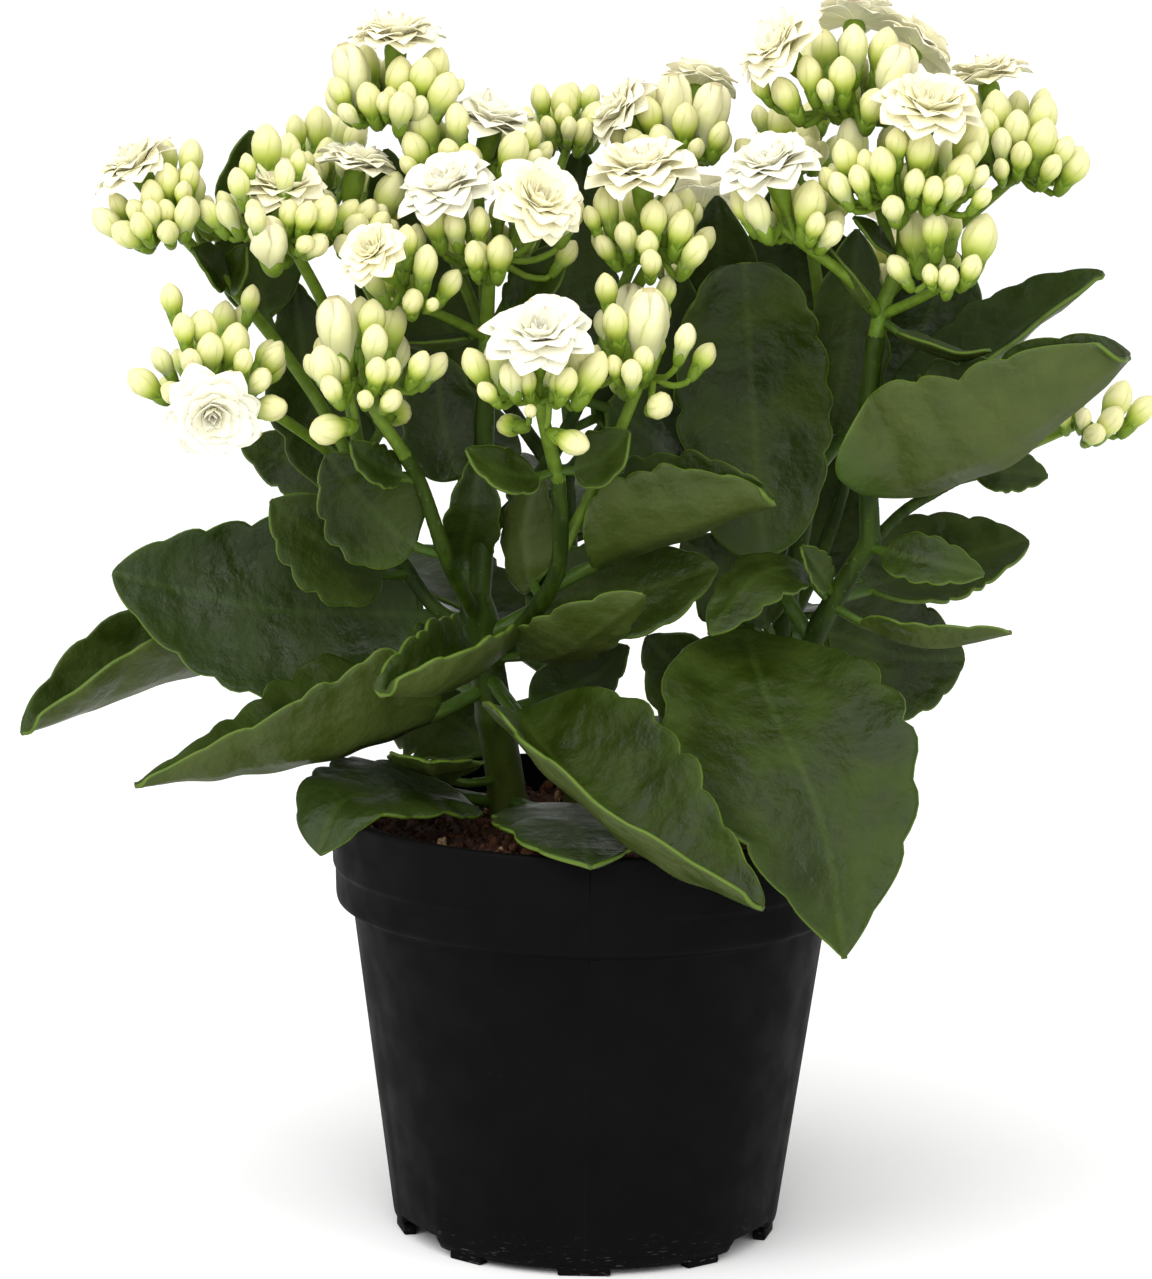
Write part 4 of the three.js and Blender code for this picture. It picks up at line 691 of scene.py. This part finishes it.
def small_blade(heap, shape, **usual):
    """Adds a young leaf or bract. What its shape leaves out is as usual."""
    blade(heap, **{**dict(thickness=1.0, rows=32, fineness=7), **usual, **shape})


for name, young in SMALL_LEAVES.items():
    young_heap = Heap()
    for number, shape in enumerate(young):
        small_blade(young_heap, shape, lobes=3, notch=0.2, stalk=1.1, seed=number * 1.7 + 5.1)
    young_leaves = young_heap.make("young_leaves_" + name, waxy)
    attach(young_leaves, "root")
    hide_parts(name)

# ----------------------------------------
# The flower sprays: thin green branches that grow on from the stems and fork into heads of buds, with
# bracts at some forks. A bud stands on a short stalk in a green cup, and its pale petals are still
# wound round each other.

# Each head gives its fork, its blooms (centre, radius, and whiteness from 0, creamy, to 1), and its buds
# as seen from the front: how far their tips lie across and above the fork, and their radius.
SPRAYS = {
    "spray_left": dict(
        branches=[
            ([(-54, 14, 172), (-66, 18, 192), (-80, 10, 212), (-96, 0, 231)], (1.6, 1.3)),
            ([(-54, 15, 176), (-46, 34, 196), (-56, 44, 216), (-64, 46, 232)], (1.2, 1.1)),
            ([(-54, 14, 173), (-66, 2, 184), (-76, -8, 192), (-86, -16, 198)], (1.4, 1.2)),
            ([(-54, 14, 173), (-57, 13, 190), (-62, 4, 212), (-68, -6, 226)], (1.6, 1.4)),
            ([(-68, -6, 226), (-70, -8, 228), (-72, -10, 230)], (1.3, 1.1)),
            ([(-68, -6, 226), (-63, -2, 228), (-58, 2, 231)], (1.3, 1.1)),
        ],
        bracts=[
            dict(path=[(-84, 8, 216), (-88, 2, 222), (-92, -4, 227)], width=12, top=(0.6, -0.6, 0.5)),
            dict(path=[(-84, 8, 216), (-82, 0, 222), (-80, -4, 228)], width=10, top=(-0.4, -0.8, 0.4)),
            dict(path=[(-73, 15, 201), (-78, 23, 213), (-81, 26, 234), (-81, 24, 252)], width=23,
                 top=(0.2, -1, 0.1), lobes=3),
        ],
        heads=[
            ((-96, 0, 231), [((-104.5, -4, 245), 10, 0.5)],
             [(4, 21, 3), (4, 16, 2.5), (3, 12, 2), (-2, 15, 3), (-4, 12, 3), (-18, 5, 3), (-13, 2, 3),
              (-7, 6, 2.5), (-1, 3, 2.5), (4, 9, 3)]),
            ((-64, 46, 232), [],
             [(-8, 23, 2.5), (-3, 25, 3.5), (7, 22, 3), (0, 18, 3), (-6, 15, 2.5), (4, 15, 2),
              (-2, 15, 2.5)]),
            ((-86, -16, 198), [((-85, -32, 193.5), 11.5, 0.9)],
             [(-10, 23, 2.5), (-2, 18, 3), (6, 15, 3.5), (-6, 17, 2.5), (0, 13, 3), (-4, 10, 2.5),
              (-18, 4, 3), (-10, 1, 2.5), (13, 5, 2.5), (17, -3, 3)]),
            ((-72, -10, 230), [((-71, -15, 241), 10.5, 0.35)],
             [(-2, 25, 3.5), (-7, 20, 2), (-9, 17, 2.5), (2, 19, 2.5), (-5, 10, 2), (-2, 6, 4.5),
              (8, 10, 2.5), (12, 11, 3), (8, 2, 2), (11, 2, 2.5), (5, 21, 2)]),
            ((-58, 2, 231), [((-55.5, 2, 245.5), 9.5, 0.7)],
             [(4, 4, 3), (2, 1, 2.5), (7, 7, 2.5), (12, 14, 3.5), (10, 6, 2.5), (12, 3, 2.5), (14, -1, 2)]),
        ],
    ),
    "spray_front_left": dict(
        branches=[([(-43, -15, 182), (-48, -19, 190), (-52, -22, 197)], (1.6, 1.4))],
        heads=[
            ((-52, -22, 197), [],
             [(-7, 22, 4.5), (2, 22, 3), (3, 17, 3), (4, 10, 2.5), (-9, 12, 3.5), (-8, 6, 2.5), (1, 2, 2),
              (8, 2, 2.5), (14, 11, 2.5), (-11, -7, 3.5)]),
        ],
    ),
    "spray_front_middle": dict(
        branches=[([(-8.5, -20, 178), (-11, -25, 188), (-13, -30, 197)], (1.7, 1.4))],
        bracts=[
            dict(path=[(-9, -21, 180), (-15, -24, 179), (-22, -28, 181), (-29, -30, 186)], width=13,
                 top=(0.2, -0.8, 0.7)),
            dict(path=[(-9, -21, 180), (-3, -22, 181), (2, -24, 184), (7, -26, 190)], width=15,
                 top=(-0.4, -0.8, 0.4)),
        ],
        heads=[
            ((-13, -30, 197), [((-13, -40, 212), 12, 1)],
             [(-16, 12, 3), (-7, 10, 2.5), (-13, 5, 2), (14, 12, 3.5), (7, 9, 2.5), (11, -9, 3),
              (-2, 0, 1.5)]),
        ],
    ),
    "spray_middle_low": dict(
        branches=[([(-8, -13, 160), (-2, -12, 172), (4, -15, 186), (9, -18, 199)], (1.5, 1.3))],
        heads=[
            ((9, -18, 199), [],
             [(-8, 26, 2.5), (-6, 20, 3), (2, 23, 5), (11, 16, 2.5), (-6, 9, 2), (-1, 9, 2.5), (6, -1, 3)]),
        ],
    ),
    "spray_middle_left": dict(
        branches=[
            ([(-25.5, 5, 204), (-25.5, 2, 211), (-25, -4, 220)], (2, 1.5)),
            ([(-25.5, 4, 207), (-33, -6, 212), (-42, -18, 217)], (1.2, 1)),
            ([(-25.5, 2, 210), (-27, 10, 226), (-28, 4, 243)], (1.5, 1.2)),
            ([(-25.5, 5, 206), (-36, 14, 230), (-47, 8, 256)], (1.5, 1.2)),
            ([(-25, 5, 207), (-15, 18, 228), (-8, 26, 249)], (1.4, 1.1)),
        ],
        bracts=[
            dict(path=[(-25, 4, 209), (-18, 2, 215), (-13, 0, 222), (-8, 0, 229)], width=14,
                 top=(-0.4, -0.9, 0.2)),
            dict(path=[(-26, 4, 209), (-34, 2, 206), (-46, -2, 206)], width=12, top=(0, 0, 1)),
        ],
        heads=[
            ((-25, -4, 220), [((-34, -16, 242), 11.5, 0.95), ((-14, -24, 240), 11.5, 0.3)],
             [(-2, 19, 2.5), (-3, 12, 2.5), (3, 13, 3), (-13, 20, 3), (15, 26, 3), (20, 21, 3),
              (-8, 18, 2.5)]),
            ((-42, -18, 217), [((-50, -30, 229), 8.5, 0.15)],
             [(4, 14, 3), (1, 4, 2.5), (6, 2, 1.5), (-1, 18, 2.5)]),
            ((-28, 4, 243), [((-25, 2, 255.5), 11.5, 0.9)],
             [(-14, 17, 3.5), (-5, 18, 3), (10, 12, 3.5), (-16, 11, 3), (-6, 10, 2.5), (-3, 9, 3),
              (-17, 6, 2), (13, 14, 2.5), (14, 8, 2)]),
            ((-47, 8, 256), [((-47, 6, 274), 11, 0.5)],
             [(-12, 17, 4.5), (2, 15, 3.5), (10, 17, 3.5), (7, 14, 3), (13, 12, 3.5), (-14, 10, 2.5),
              (-6, 9, 3), (-2, 7, 2), (2, 8, 3), (15, 10, 1.5), (-12, 4, 2)]),
            ((-8, 26, 249), [],
             [(-7, 15, 2.5), (-1, 15, 3), (-1, 11, 2), (1, 8, 2), (7, 11, 3), (-5, 8, 2), (4, 8, 2.5)]),
        ],
    ),
    "spray_middle_right": dict(
        branches=[
            ([(-2, 14, 196), (0, 12, 202), (5, 4, 213), (11, -6, 225)], (1.6, 1.4)),
            ([(-1, 13, 199), (7, 18, 222), (18, 20, 246)], (1.4, 1.2)),
        ],
        heads=[
            ((11, -6, 225), [((9, -12, 246), 13, 0.5)],
             [(-11, 18, 3), (1, 16, 3), (-6, 11, 2.5), (-2, 8, 1.5), (8, 14, 3), (0, 6, 2.5), (12, 8, 3),
              (5, 17, 3), (-14, 14, 2)]),
            ((18, 20, 246), [((5, 16, 258), 10, 0.6), ((22, 26, 264), 9, 0.6)],
             [(-2, 21, 4.5), (8, 19, 4.5), (-9, 16, 3), (1, 15, 3), (-6, 10, 3.5), (10, 11, 2.5), (4, 7, 2),
              (-12, 9, 2.5), (-9, 8, 2.5)]),
        ],
    ),
    "spray_right_front": dict(
        branches=[
            ([(63, 0, 209), (64, 0, 215), (68, -1, 227), (68, -8, 238)], (2, 1.4)),
            ([(64, 0, 214), (56, -6, 223), (44, -12, 232)], (1.5, 1.2)),
            ([(67, -1, 225), (62, 3, 242), (56, 2, 257)], (1.4, 1.2)),
            ([(64, 0, 214), (71, -6, 218), (77, -12, 222)], (1.3, 1.1)),
        ],
        bracts=[
            dict(path=[(64, 0, 213), (72, -6, 209), (82, -10, 206), (88, -12, 208)], width=12,
                 top=(0, 0.1, 1)),
            dict(path=[(64, 0, 213), (58, -4, 220), (50, -6, 231)], width=8, top=(0.7, 0.2, 0.6)),
            dict(path=[(68, 0, 228), (63, -6, 231), (57, -9, 237)], width=9, top=(0.5, -0.5, 0.7)),
        ],
        heads=[
            ((44, -12, 232), [((38, -18, 248), 12, 1)],
             [(-14, 12, 3), (-11, 11, 3), (3, 14, 4), (9, 5, 2.5)]),
            ((68, -8, 238), [((72, -20, 261.5), 12, 0.3)],
             [(-15, 17, 3), (-10, 15, 2.5), (-7, 16, 3), (-12, 12, 2.5), (-4, 5, 2.5), (-3, 20, 2.5),
              (3, 20, 3.5), (2, 11, 2.5), (6, 10, 2.5), (13, 14, 3), (16, 22, 4), (15, 17, 2.5),
              (-17, 10, 2.5), (18, 7, 2), (17, 12, 2)]),
            ((56, 2, 257), [((40, -6, 274), 11, 0.4), ((57, 12, 280), 10, 0.7), ((71, 8, 274), 10, 0.5)],
             [(0, 23, 3.5), (8, 22, 3.5), (11, 19, 4.5), (-11, 16, 3), (-3, 16, 3), (-7, 11, 2), (5, 9, 3),
              (-22, 11, 2), (-17, 11, 3)]),
            ((77, -12, 222), [],
             [(-3, 18, 3), (9, 17, 4), (-4, 6, 2), (0, 6, 2.5)]),
        ],
    ),
    "spray_right_back": dict(
        branches=[
            ([(52, 26, 190), (53, 26, 198), (50, 27, 222), (45, 26, 246)], (1.9, 1.2)),
            ([(53, 26, 198), (72, 24, 222), (93, 16, 243)], (1.5, 1.2)),
        ],
        heads=[
            ((45, 26, 246), [],
             [(-5, 15, 3.5), (3, 10, 3), (-14, 6, 3), (-6, 6, 2.5), (-9, 14, 2)]),
            ((93, 16, 243), [((88, 18, 266.5), 10, 0.4)],
             [(-11, 23, 3), (-4, 22, 3.5), (8, 21, 3.5), (8, 16, 3.5), (1, 18, 3), (-3, 14, 2.5),
              (2, 11, 2.5), (16, 9, 3), (10, 8, 2.5), (-3, 7, 2), (-6, 18, 2.5), (13, 12, 2.5)]),
        ],
    ),
    "spray_right_low": dict(
        branches=[([(86, 20, 175), (98, 31, 179), (113, 42, 184)], (1.3, 1.1))],
        heads=[
            ((113, 42, 184), [],
             [(11, 12, 3.5), (18, 8, 3), (5, 2, 2.5), (9, 6, 3), (1, 6, 2)]),
        ],
    ),
    "spray_behind_left": dict(
        branches=[([(-32, 56, 206), (-34, 57, 211), (-36, 58, 216)], (1.5, 1.3))],
        heads=[
            ((-36, 58, 216), [((-38, 66, 230), 11.5, 0.6)],
             [(-9, 8), (-4, 14), (4, 12), (10, 7), (7, 2)]),
        ],
    ),
    "spray_behind_middle": dict(
        branches=[([(18, 60, 208), (20, 61, 213), (22, 62, 218)], (1.5, 1.3))],
        heads=[
            ((22, 62, 218), [((24, 71, 232), 11.5, 0.7)],
             [(-10, 7), (-5, 13), (4, 13), (9, 8), (-6, 2)]),
        ],
    ),
    "spray_behind_right": dict(
        branches=[([(64, 46, 196), (67, 48, 206), (70, 50, 216)], (1.5, 1.3))],
        heads=[
            ((70, 50, 216), [((74, 60, 229), 10.5, 0.5)],
             [(-9, 8), (-3, 14), (5, 13), (10, 8), (6, 2)]),
        ],
    ),
}
CUP_TOP = 0.33  # how far up the bud its green cup reaches
FAT = 4.2  # a bud of a larger radius has begun to open, and the tips of its petals part
WINDING = 1.1  # how far the petals wind round the bud, in radians
BUD_SPOKES = 16
BUD_LENGTH = 4.3  # in radii
BUD_OUTLINE = [  # share of the length, share of the radius
    (0.04, 0.4), (0.16, 0.51), (0.28, 0.58), (0.4, 0.72), (0.5, 0.89), (0.6, 0.99), (0.7, 0.98),
    (0.8, 0.86), (0.89, 0.63), (0.96, 0.33), (1.0, 0.03),
]
CUP_OUTLINE = [(0.0, 0.28), (0.06, 0.42), (0.15, 0.52), (0.24, 0.57)]
PRESSING_ROUNDS = 60
PUSH, PULL_BACK = [0.1, 0.24, 0.13], [0.06, 0.02, 0.06]  # across, in depth and up
TWIG, BUD_STALK, BLOOM_STALK = (1.1, 0.9), (0.8, 0.75), (1.05, 0.9)  # first and last radius
BLOOM_TUBE, TUBE_LENGTH = (1.2, 2.3, 2.6), 8.5


def axes_along(way):
    """Two directions square to a way, and the way itself."""
    way = np.array(way, float) / np.linalg.norm(way)
    across = np.cross(way, ASKEW)
    across = across / np.linalg.norm(across)
    return across, np.cross(way, across), way


def put_bud(pale, green, base, tip, radius, number):
    """Adds one bud: the wound petals to the pale heap, the lobed cup to the green one."""
    across, other, way = axes_along(tip - base)
    length = np.linalg.norm(tip - base)
    loose = 1.0 if radius > FAT else 0.0
    turn = np.arange(BUD_SPOKES) / BUD_SPOKES * 2 * math.pi + number
    wound = np.abs(np.arange(BUD_SPOKES) * 4 / BUD_SPOKES % 1 - 0.25)
    rings, rise, crease = [], [], []
    for share, size in BUD_OUTLINE:
        depth = 0.07 * eased(share, 0.35, 0.6) * (1 - eased(share, 0.85, 1.0)) * (1 + 2 * loose)
        size = size + loose * 0.3 * eased(share, 0.7, 1.0)
        spread = radius * size * (1 - depth * np.exp(-((wound / 0.08) ** 2)))
        spread = spread * (1 + 0.05 * np.cos(2 * turn + number))
        twisted = turn + WINDING * share
        share = share - loose * 0.2 * eased(share, 0.6, 1.0) * np.exp(-((wound / 0.16) ** 2))
        rings.append(hoop(base + np.outer(length * share, way), spread, twisted, across, other))
        rise.append(share)
        crease.append(wound + 0.1 * eased(share, 0.8, 0.97))
    pale.put(
        rings, wrapped(len(rings), BUD_SPOKES), rise=np.concatenate(rise), crease=np.concatenate(crease),
        line=np.tile([0, 1], len(rings) * BUD_SPOKES // 2), tone=1.1 if loose else (number * 0.618) % 1,
    )
    # The cup ends in four pointed lobes that lie against the petals, and turns in behind them
    lobes = 0.15 * np.abs(np.cos(2 * (turn - number))) ** 1.6
    rings, rise = [], []
    for share, size in CUP_OUTLINE:
        rise.append(np.minimum(share, CUP_TOP - 0.12 + lobes))
        rings.append(hoop(base + np.outer(length * rise[-1], way), 1.1 * radius * size, turn, across, other))
    for share, skin in ((CUP_TOP, 1.04), (CUP_TOP - 0.02, 0.85)):
        rise.append(share - 0.1 + lobes)
        spread = skin * radius * np.interp(rise[-1], *np.array(BUD_OUTLINE).T)
        rings.append(hoop(base + np.outer(length * rise[-1], way), spread, turn, across, other))
    green.put(rings, wrapped(len(rings), BUD_SPOKES), fresh=0.3 + 0.9 * np.concatenate(rise))


def bud_places(fork, blooms, seen, luck):
    """The buds of a head: tips, the ways they point, and radii. They are those seen from the front, as
    many on the far side and a few small ones low down, all pressed apart until they only touch."""
    dome = max(math.hypot(across, rise) for across, rise, *_ in seen) + 1
    wanted, sizes = [], []
    for across, rise, *size in seen:
        depth = math.sqrt(max(0, dome**2 - across**2 - rise**2))
        size = size[0] if size else 2.55 + 0.95 * min(max((rise - 1) / 13, 0), 1)
        wanted += [(across, -0.7 * depth, rise), (-0.8 * across, 0.7 * depth + 3, 0.9 * rise + 1)]
        sizes += [size, 0.92 * size]
    for _ in range(len(seen) // 2 + 1):
        angle = luck.random() * 2 * math.pi
        reach = (0.5 + 0.25 * luck.random()) * dome
        wanted.append((reach * math.cos(angle), reach * math.sin(angle), 0.32 * dome + 2 * luck.random()))
        sizes.append(2.2 + 0.3 * luck.random())
    wanted, sizes = np.array(wanted), np.array(sizes)
    ways = wanted / np.linalg.norm(wanted, axis=1)[:, None]
    ways[:, 2] += 0.35 + 0.75 * np.clip(wanted[:, 2] / 14, 0, 1)
    ways = ways / np.linalg.norm(ways, axis=1)[:, None]
    tips = wanted = wanted + fork
    # Each bud takes the room of two balls, one round its petals and one round its cup
    count = len(tips)
    owner = np.concatenate([np.arange(count)] * 2)
    others = owner[:, None] != owner[None]
    room = np.concatenate([sizes, 0.72 * sizes])
    for _ in range(PRESSING_ROUNDS):
        balls = np.concatenate([tips - ways * 1.5 * sizes[:, None], tips - ways * 3.0 * sizes[:, None]])
        gaps = balls[:, None] - balls[None]
        apart = np.linalg.norm(gaps, axis=2) + 1e-6
        close = others * np.clip(0.95 * (room[:, None] + room[None]) - apart, 0, None)
        push = (gaps / apart[:, :, None] * close[:, :, None]).sum(1) * PUSH
        for centre, radius, _ in blooms:
            gap = balls - np.array(centre, float)
            flat = np.linalg.norm(gap, axis=1)
            near = np.clip(0.45 * radius + 0.75 * room - flat, 0, None)
            push += gap / flat[:, None] * near[:, None] * 0.3
        tips = tips + push[:count] + push[count:] + (wanted - tips) * PULL_BACK
    return tips, ways, sizes


young_skin = Finish("young_green", Roughness=0.45, Specular_IOR_Level=0.2)
freshness = young_skin.mark("fresh")
young_green = young_skin.mixed(freshness, paint(52, 78, 10), paint(132, 158, 44))
green_clouds = young_skin.graded(young_skin.speckle(2.5, 4), 0.35, 0.7, 0.0, 0.6)
green_spot = young_skin.mixed(freshness, paint(92, 122, 30), paint(138, 164, 58))
young_skin.shade(Base_Color=young_skin.mixed(green_clouds, young_green, green_spot))
young_skin.relief(young_skin.speckle(0.8), 0.12, 0.4)

bud_skin = Finish(
    "wound_petals", Roughness=0.4, Specular_IOR_Level=0.3,
    Subsurface_Weight=0.4, Subsurface_Scale=0.001, Subsurface_Radius=(1, 0.9, 0.4),
)
rise, ripe = bud_skin.mark("rise"), bud_skin.mark("tone")
tube_green = bud_skin.mixed(bud_skin.graded(rise, 0.3, 0.6), paint(100, 130, 26), paint(180, 194, 76))
bud_cream = bud_skin.mixed(bud_skin.graded(rise, 0.46, 0.84), tube_green, paint(224, 220, 164))
riper = bud_skin.mixed(bud_skin.graded(ripe, 0.5, 1.5), bud_cream, paint(234, 228, 192))
# Painted shade: the creases between the wound petals are painted a darker green, as shade falling between
# them
painted_crease_shade = bud_skin.graded(bud_skin.mark("crease"), 0.0, 0.07, 0.35, 0.0)
with_crease_shade = bud_skin.mixed(painted_crease_shade, riper, paint(158, 172, 62))
clouded = bud_skin.graded(bud_skin.speckle(2.2), 0.35, 0.7, 0.0, 0.3)
long_veins = bud_skin.times(bud_skin.graded(bud_skin.mark("line"), 0.4, 1.0), clouded)
veined = bud_skin.mixed(long_veins, with_crease_shade, paint(186, 194, 96))
dry_tip = bud_skin.times(bud_skin.graded(rise, 0.975, 0.995), bud_skin.graded(ripe, 0.6, 0.7, 0.0, 0.5))
bud_skin.shade(Base_Color=bud_skin.mixed(dry_tip, veined, paint(176, 144, 88)))
bud_skin.relief(bud_skin.mark("line"), 0.03, 0.5)

luck = np.random.default_rng(23)
bud_number = 0
for name, spray in SPRAYS.items():
    twigs, buds, bracts = Heap(), Heap(), Heap()
    for path, radii in spray["branches"]:
        tube(twigs, path, radii, sides=10, fresh=lambda shares: 0.15 + 0.3 * shares)
    for number, shape in enumerate(spray.get("bracts", [])):
        small_blade(bracts, shape, lobes=2, notch=0.16, stalk=1.0, seed=number * 2.3 + 1.9)
    for fork, blooms, seen in spray["heads"]:
        fork = np.array(fork, float)
        tips, ways, sizes = bud_places(fork, blooms, seen, luck)
        # Neighbouring buds share a twig for the first part of the way
        order = np.argsort([math.atan2(*(tip - fork)[:2]) for tip in tips])
        for start in range(0, len(order), 3):
            group = order[start:start + 3]
            knot = fork + 0.3 * (tips[group].mean(0) - fork)
            tube(twigs, [fork, (fork + knot) / 2 + [0, 0, -0.3], knot], TWIG, sides=6, fresh=0.3)
            for i in group:
                body = min(BUD_LENGTH * sizes[i], 0.8 * np.linalg.norm(tips[i] - fork) + 3)
                base = tips[i] - ways[i] * body
                bend = (knot + base) / 2 + [0, 0, -0.12 * np.linalg.norm(base - knot)]
                stalk = [knot, bend, base, base + ways[i] * 1.2]
                tube(twigs, stalk, BUD_STALK, sides=6, step=2.5, fresh=0.45)
                put_bud(buds, twigs, base, tips[i], sizes[i], bud_number)
                bud_number += 1
        # A bloom's stalk widens into a green tube right under its petals
        for centre, radius, _ in blooms:
            way = np.array(centre, float) - fork
            foot = np.array(centre, float) - way / np.linalg.norm(way) * 0.2 * radius
            neck = fork + (foot - fork) * max(0.15, 1 - TUBE_LENGTH / np.linalg.norm(foot - fork))
            tube(twigs, [fork, (fork + neck) / 2, neck], BLOOM_STALK, sides=10, fresh=0.35)
            tube(twigs, [neck, (neck + foot) / 2, foot], BLOOM_TUBE, step=1.5, fresh=0.45)
    place = name.replace("spray_", "")
    made = [(twigs.make("twigs_" + place, young_skin), "bud_green")]
    made.append((buds.make("buds_" + place, bud_skin), "bud_green"))
    if "bracts" in spray:
        made.append((bracts.make("bracts_" + place, waxy), "leaf_green"))
    for piece, slot in made:
        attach(piece, "root")
        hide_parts(name)

# ----------------------------------------
# The blooms: fully double, each a rosette of over forty thin, pointed petals in seven layers on the end
# of its stalk. The outer petals lie open, and the inner ones stand up round the heart.

# Each layer gives how many petals it has, how far out and how high their tips are and how wide they are,
# as shares of the bloom's radius, and how much they are cupped.
LAYERS = [
    (8, 1.02, -0.08, 0.76, 0.0), (8, 0.92, 0.1, 0.72, 0.08), (8, 0.76, 0.28, 0.62, 0.2),
    (7, 0.58, 0.44, 0.54, 0.4), (5, 0.38, 0.52, 0.44, 0.65), (4, 0.19, 0.5, 0.32, 0.9),
    (3, 0.08, 0.42, 0.2, 0.9),
]
PETAL_THICKNESS = 0.24
PETAL_STEPS = np.array([0.0, 0.15, 0.32, 0.5, 0.67, 0.82, 0.93, 1.0])
PETAL_OUTLINE = PETAL_STEPS**0.6 * (1 - PETAL_STEPS**2.8) / 0.57
PETAL_ACROSS = np.array([-1, -0.9, 0, 0.9, 1])

cream = Finish("cream_petals", Roughness=0.7, Specular_IOR_Level=0.12)
throat = cream.graded(cream.mark("along"), 0.0, 0.6)
creamy = cream.mixed(throat, paint(247, 242, 174), paint(250, 244, 207))
white = cream.mixed(throat, paint(252, 249, 219), paint(248, 246, 229))
petal_cream = cream.mixed(cream.mark("whiteness"), creamy, white)
petal_veins = cream.add("Math", cream.times(cream.mark("across"), 21), operation="SINE")
fine_lines = cream.graded(petal_veins, 0.2, 1.0, 0.0, 0.14)
lined = cream.mixed(fine_lines, petal_cream, paint(248, 243, 214))
some = cream.graded(cream.mark("chance"), 0.8, 0.85, 0.0, 0.7)
withered = cream.times(cream.graded(cream.mark("along"), 0.9, 1.0), some)
cream.shade(Base_Color=cream.mixed(withered, lined, paint(196, 162, 110)))
cream.relief(petal_veins, 0.06, 0.5)


def petal(heap, origin, axes, azimuth, scale, layer, chance, whiteness):
    """Adds one petal of a bloom: pointed, cupped across, and arched out or up by its layer."""
    _, out, height, width, cup = layer
    length = scale * (0.93 + 0.14 * chance)
    foot = np.array([0.05, -0.12 + 0.1 * cup])
    tip = np.array([out * (0.95 + 0.1 * chance), height + 0.16 * (chance - 0.5)])
    flat_bend = np.array([0.58 * out, height + 0.26])
    bowl_bend = np.array([1.05 * out, -0.05 + 0.15 * height])
    bend = flat_bend + (bowl_bend - flat_bend) * cup
    t = PETAL_STEPS[:, None]
    spine = (1 - t) ** 2 * foot + 2 * t * (1 - t) * bend + t**2 * tip
    slope = np.gradient(spine, axis=0)
    slope = slope / np.linalg.norm(slope, axis=1)[:, None]
    half = np.maximum(0.5 * width * PETAL_OUTLINE, [0.05] + [0.02] * (len(t) - 1))
    angle = azimuth + 0.3 * (chance - 0.5)
    outward = math.cos(angle) * axes[0] + math.sin(angle) * axes[1]
    sideways = -math.sin(angle) * axes[0] + math.cos(angle) * axes[1]
    up = axes[2]
    points = []
    for face in (0.5, -0.5):
        for k, (r, z) in enumerate(spine):
            normal = up * slope[k, 0] - outward * slope[k, 1]
            for x in PETAL_ACROSS:
                curl = (0.22 + 0.34 * cup) * half[k] * x * x
                twist = 0.4 * ((7 * chance) % 1 - 0.5) * x * half[k]
                place = outward * r + up * z + sideways * (x * half[k]) + normal * (curl + twist)
                thick = PETAL_THICKNESS * (1 - 0.6 * abs(x)) * face * normal
                points.append(origin + place * length + thick)
    points = np.array(points).reshape(2, len(spine), len(PETAL_ACROSS), 3)
    ring = np.concatenate([points[0], points[1][:, ::-1]], axis=1)
    along = np.repeat(PETAL_STEPS, ring.shape[1])
    across = np.tile(np.concatenate([PETAL_ACROSS, PETAL_ACROSS[::-1]]), len(spine))
    heap.put(
        ring, wrapped(len(spine), ring.shape[1]),
        along=along, across=across, chance=chance, whiteness=whiteness,
    )


for name, spray in SPRAYS.items():
    place = name.replace("spray_", "")
    flowers = [(fork, *flower) for fork, blooms, _ in spray["heads"] for flower in blooms]
    for number, (fork, centre, radius, whiteness) in enumerate(flowers, 1):
        petals = Heap()
        axes = axes_along(np.array(centre, float) - np.array(fork, float))
        luck = np.random.default_rng(abs(int(100 * sum(centre))))
        for level, layer in enumerate(LAYERS):
            for k in range(layer[0]):
                azimuth = 2 * math.pi * (k + 0.5 * (level % 2)) / layer[0] + 0.4 * level
                petal(petals, np.array(centre, float), axes, azimuth, radius, layer, luck.random(), whiteness)
        where = place + (f"_{number}" if len(flowers) > 1 else "")
        bloom = petals.make("petals_" + where, cream)
        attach(bloom, "root")
        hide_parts("bloom_" + where)
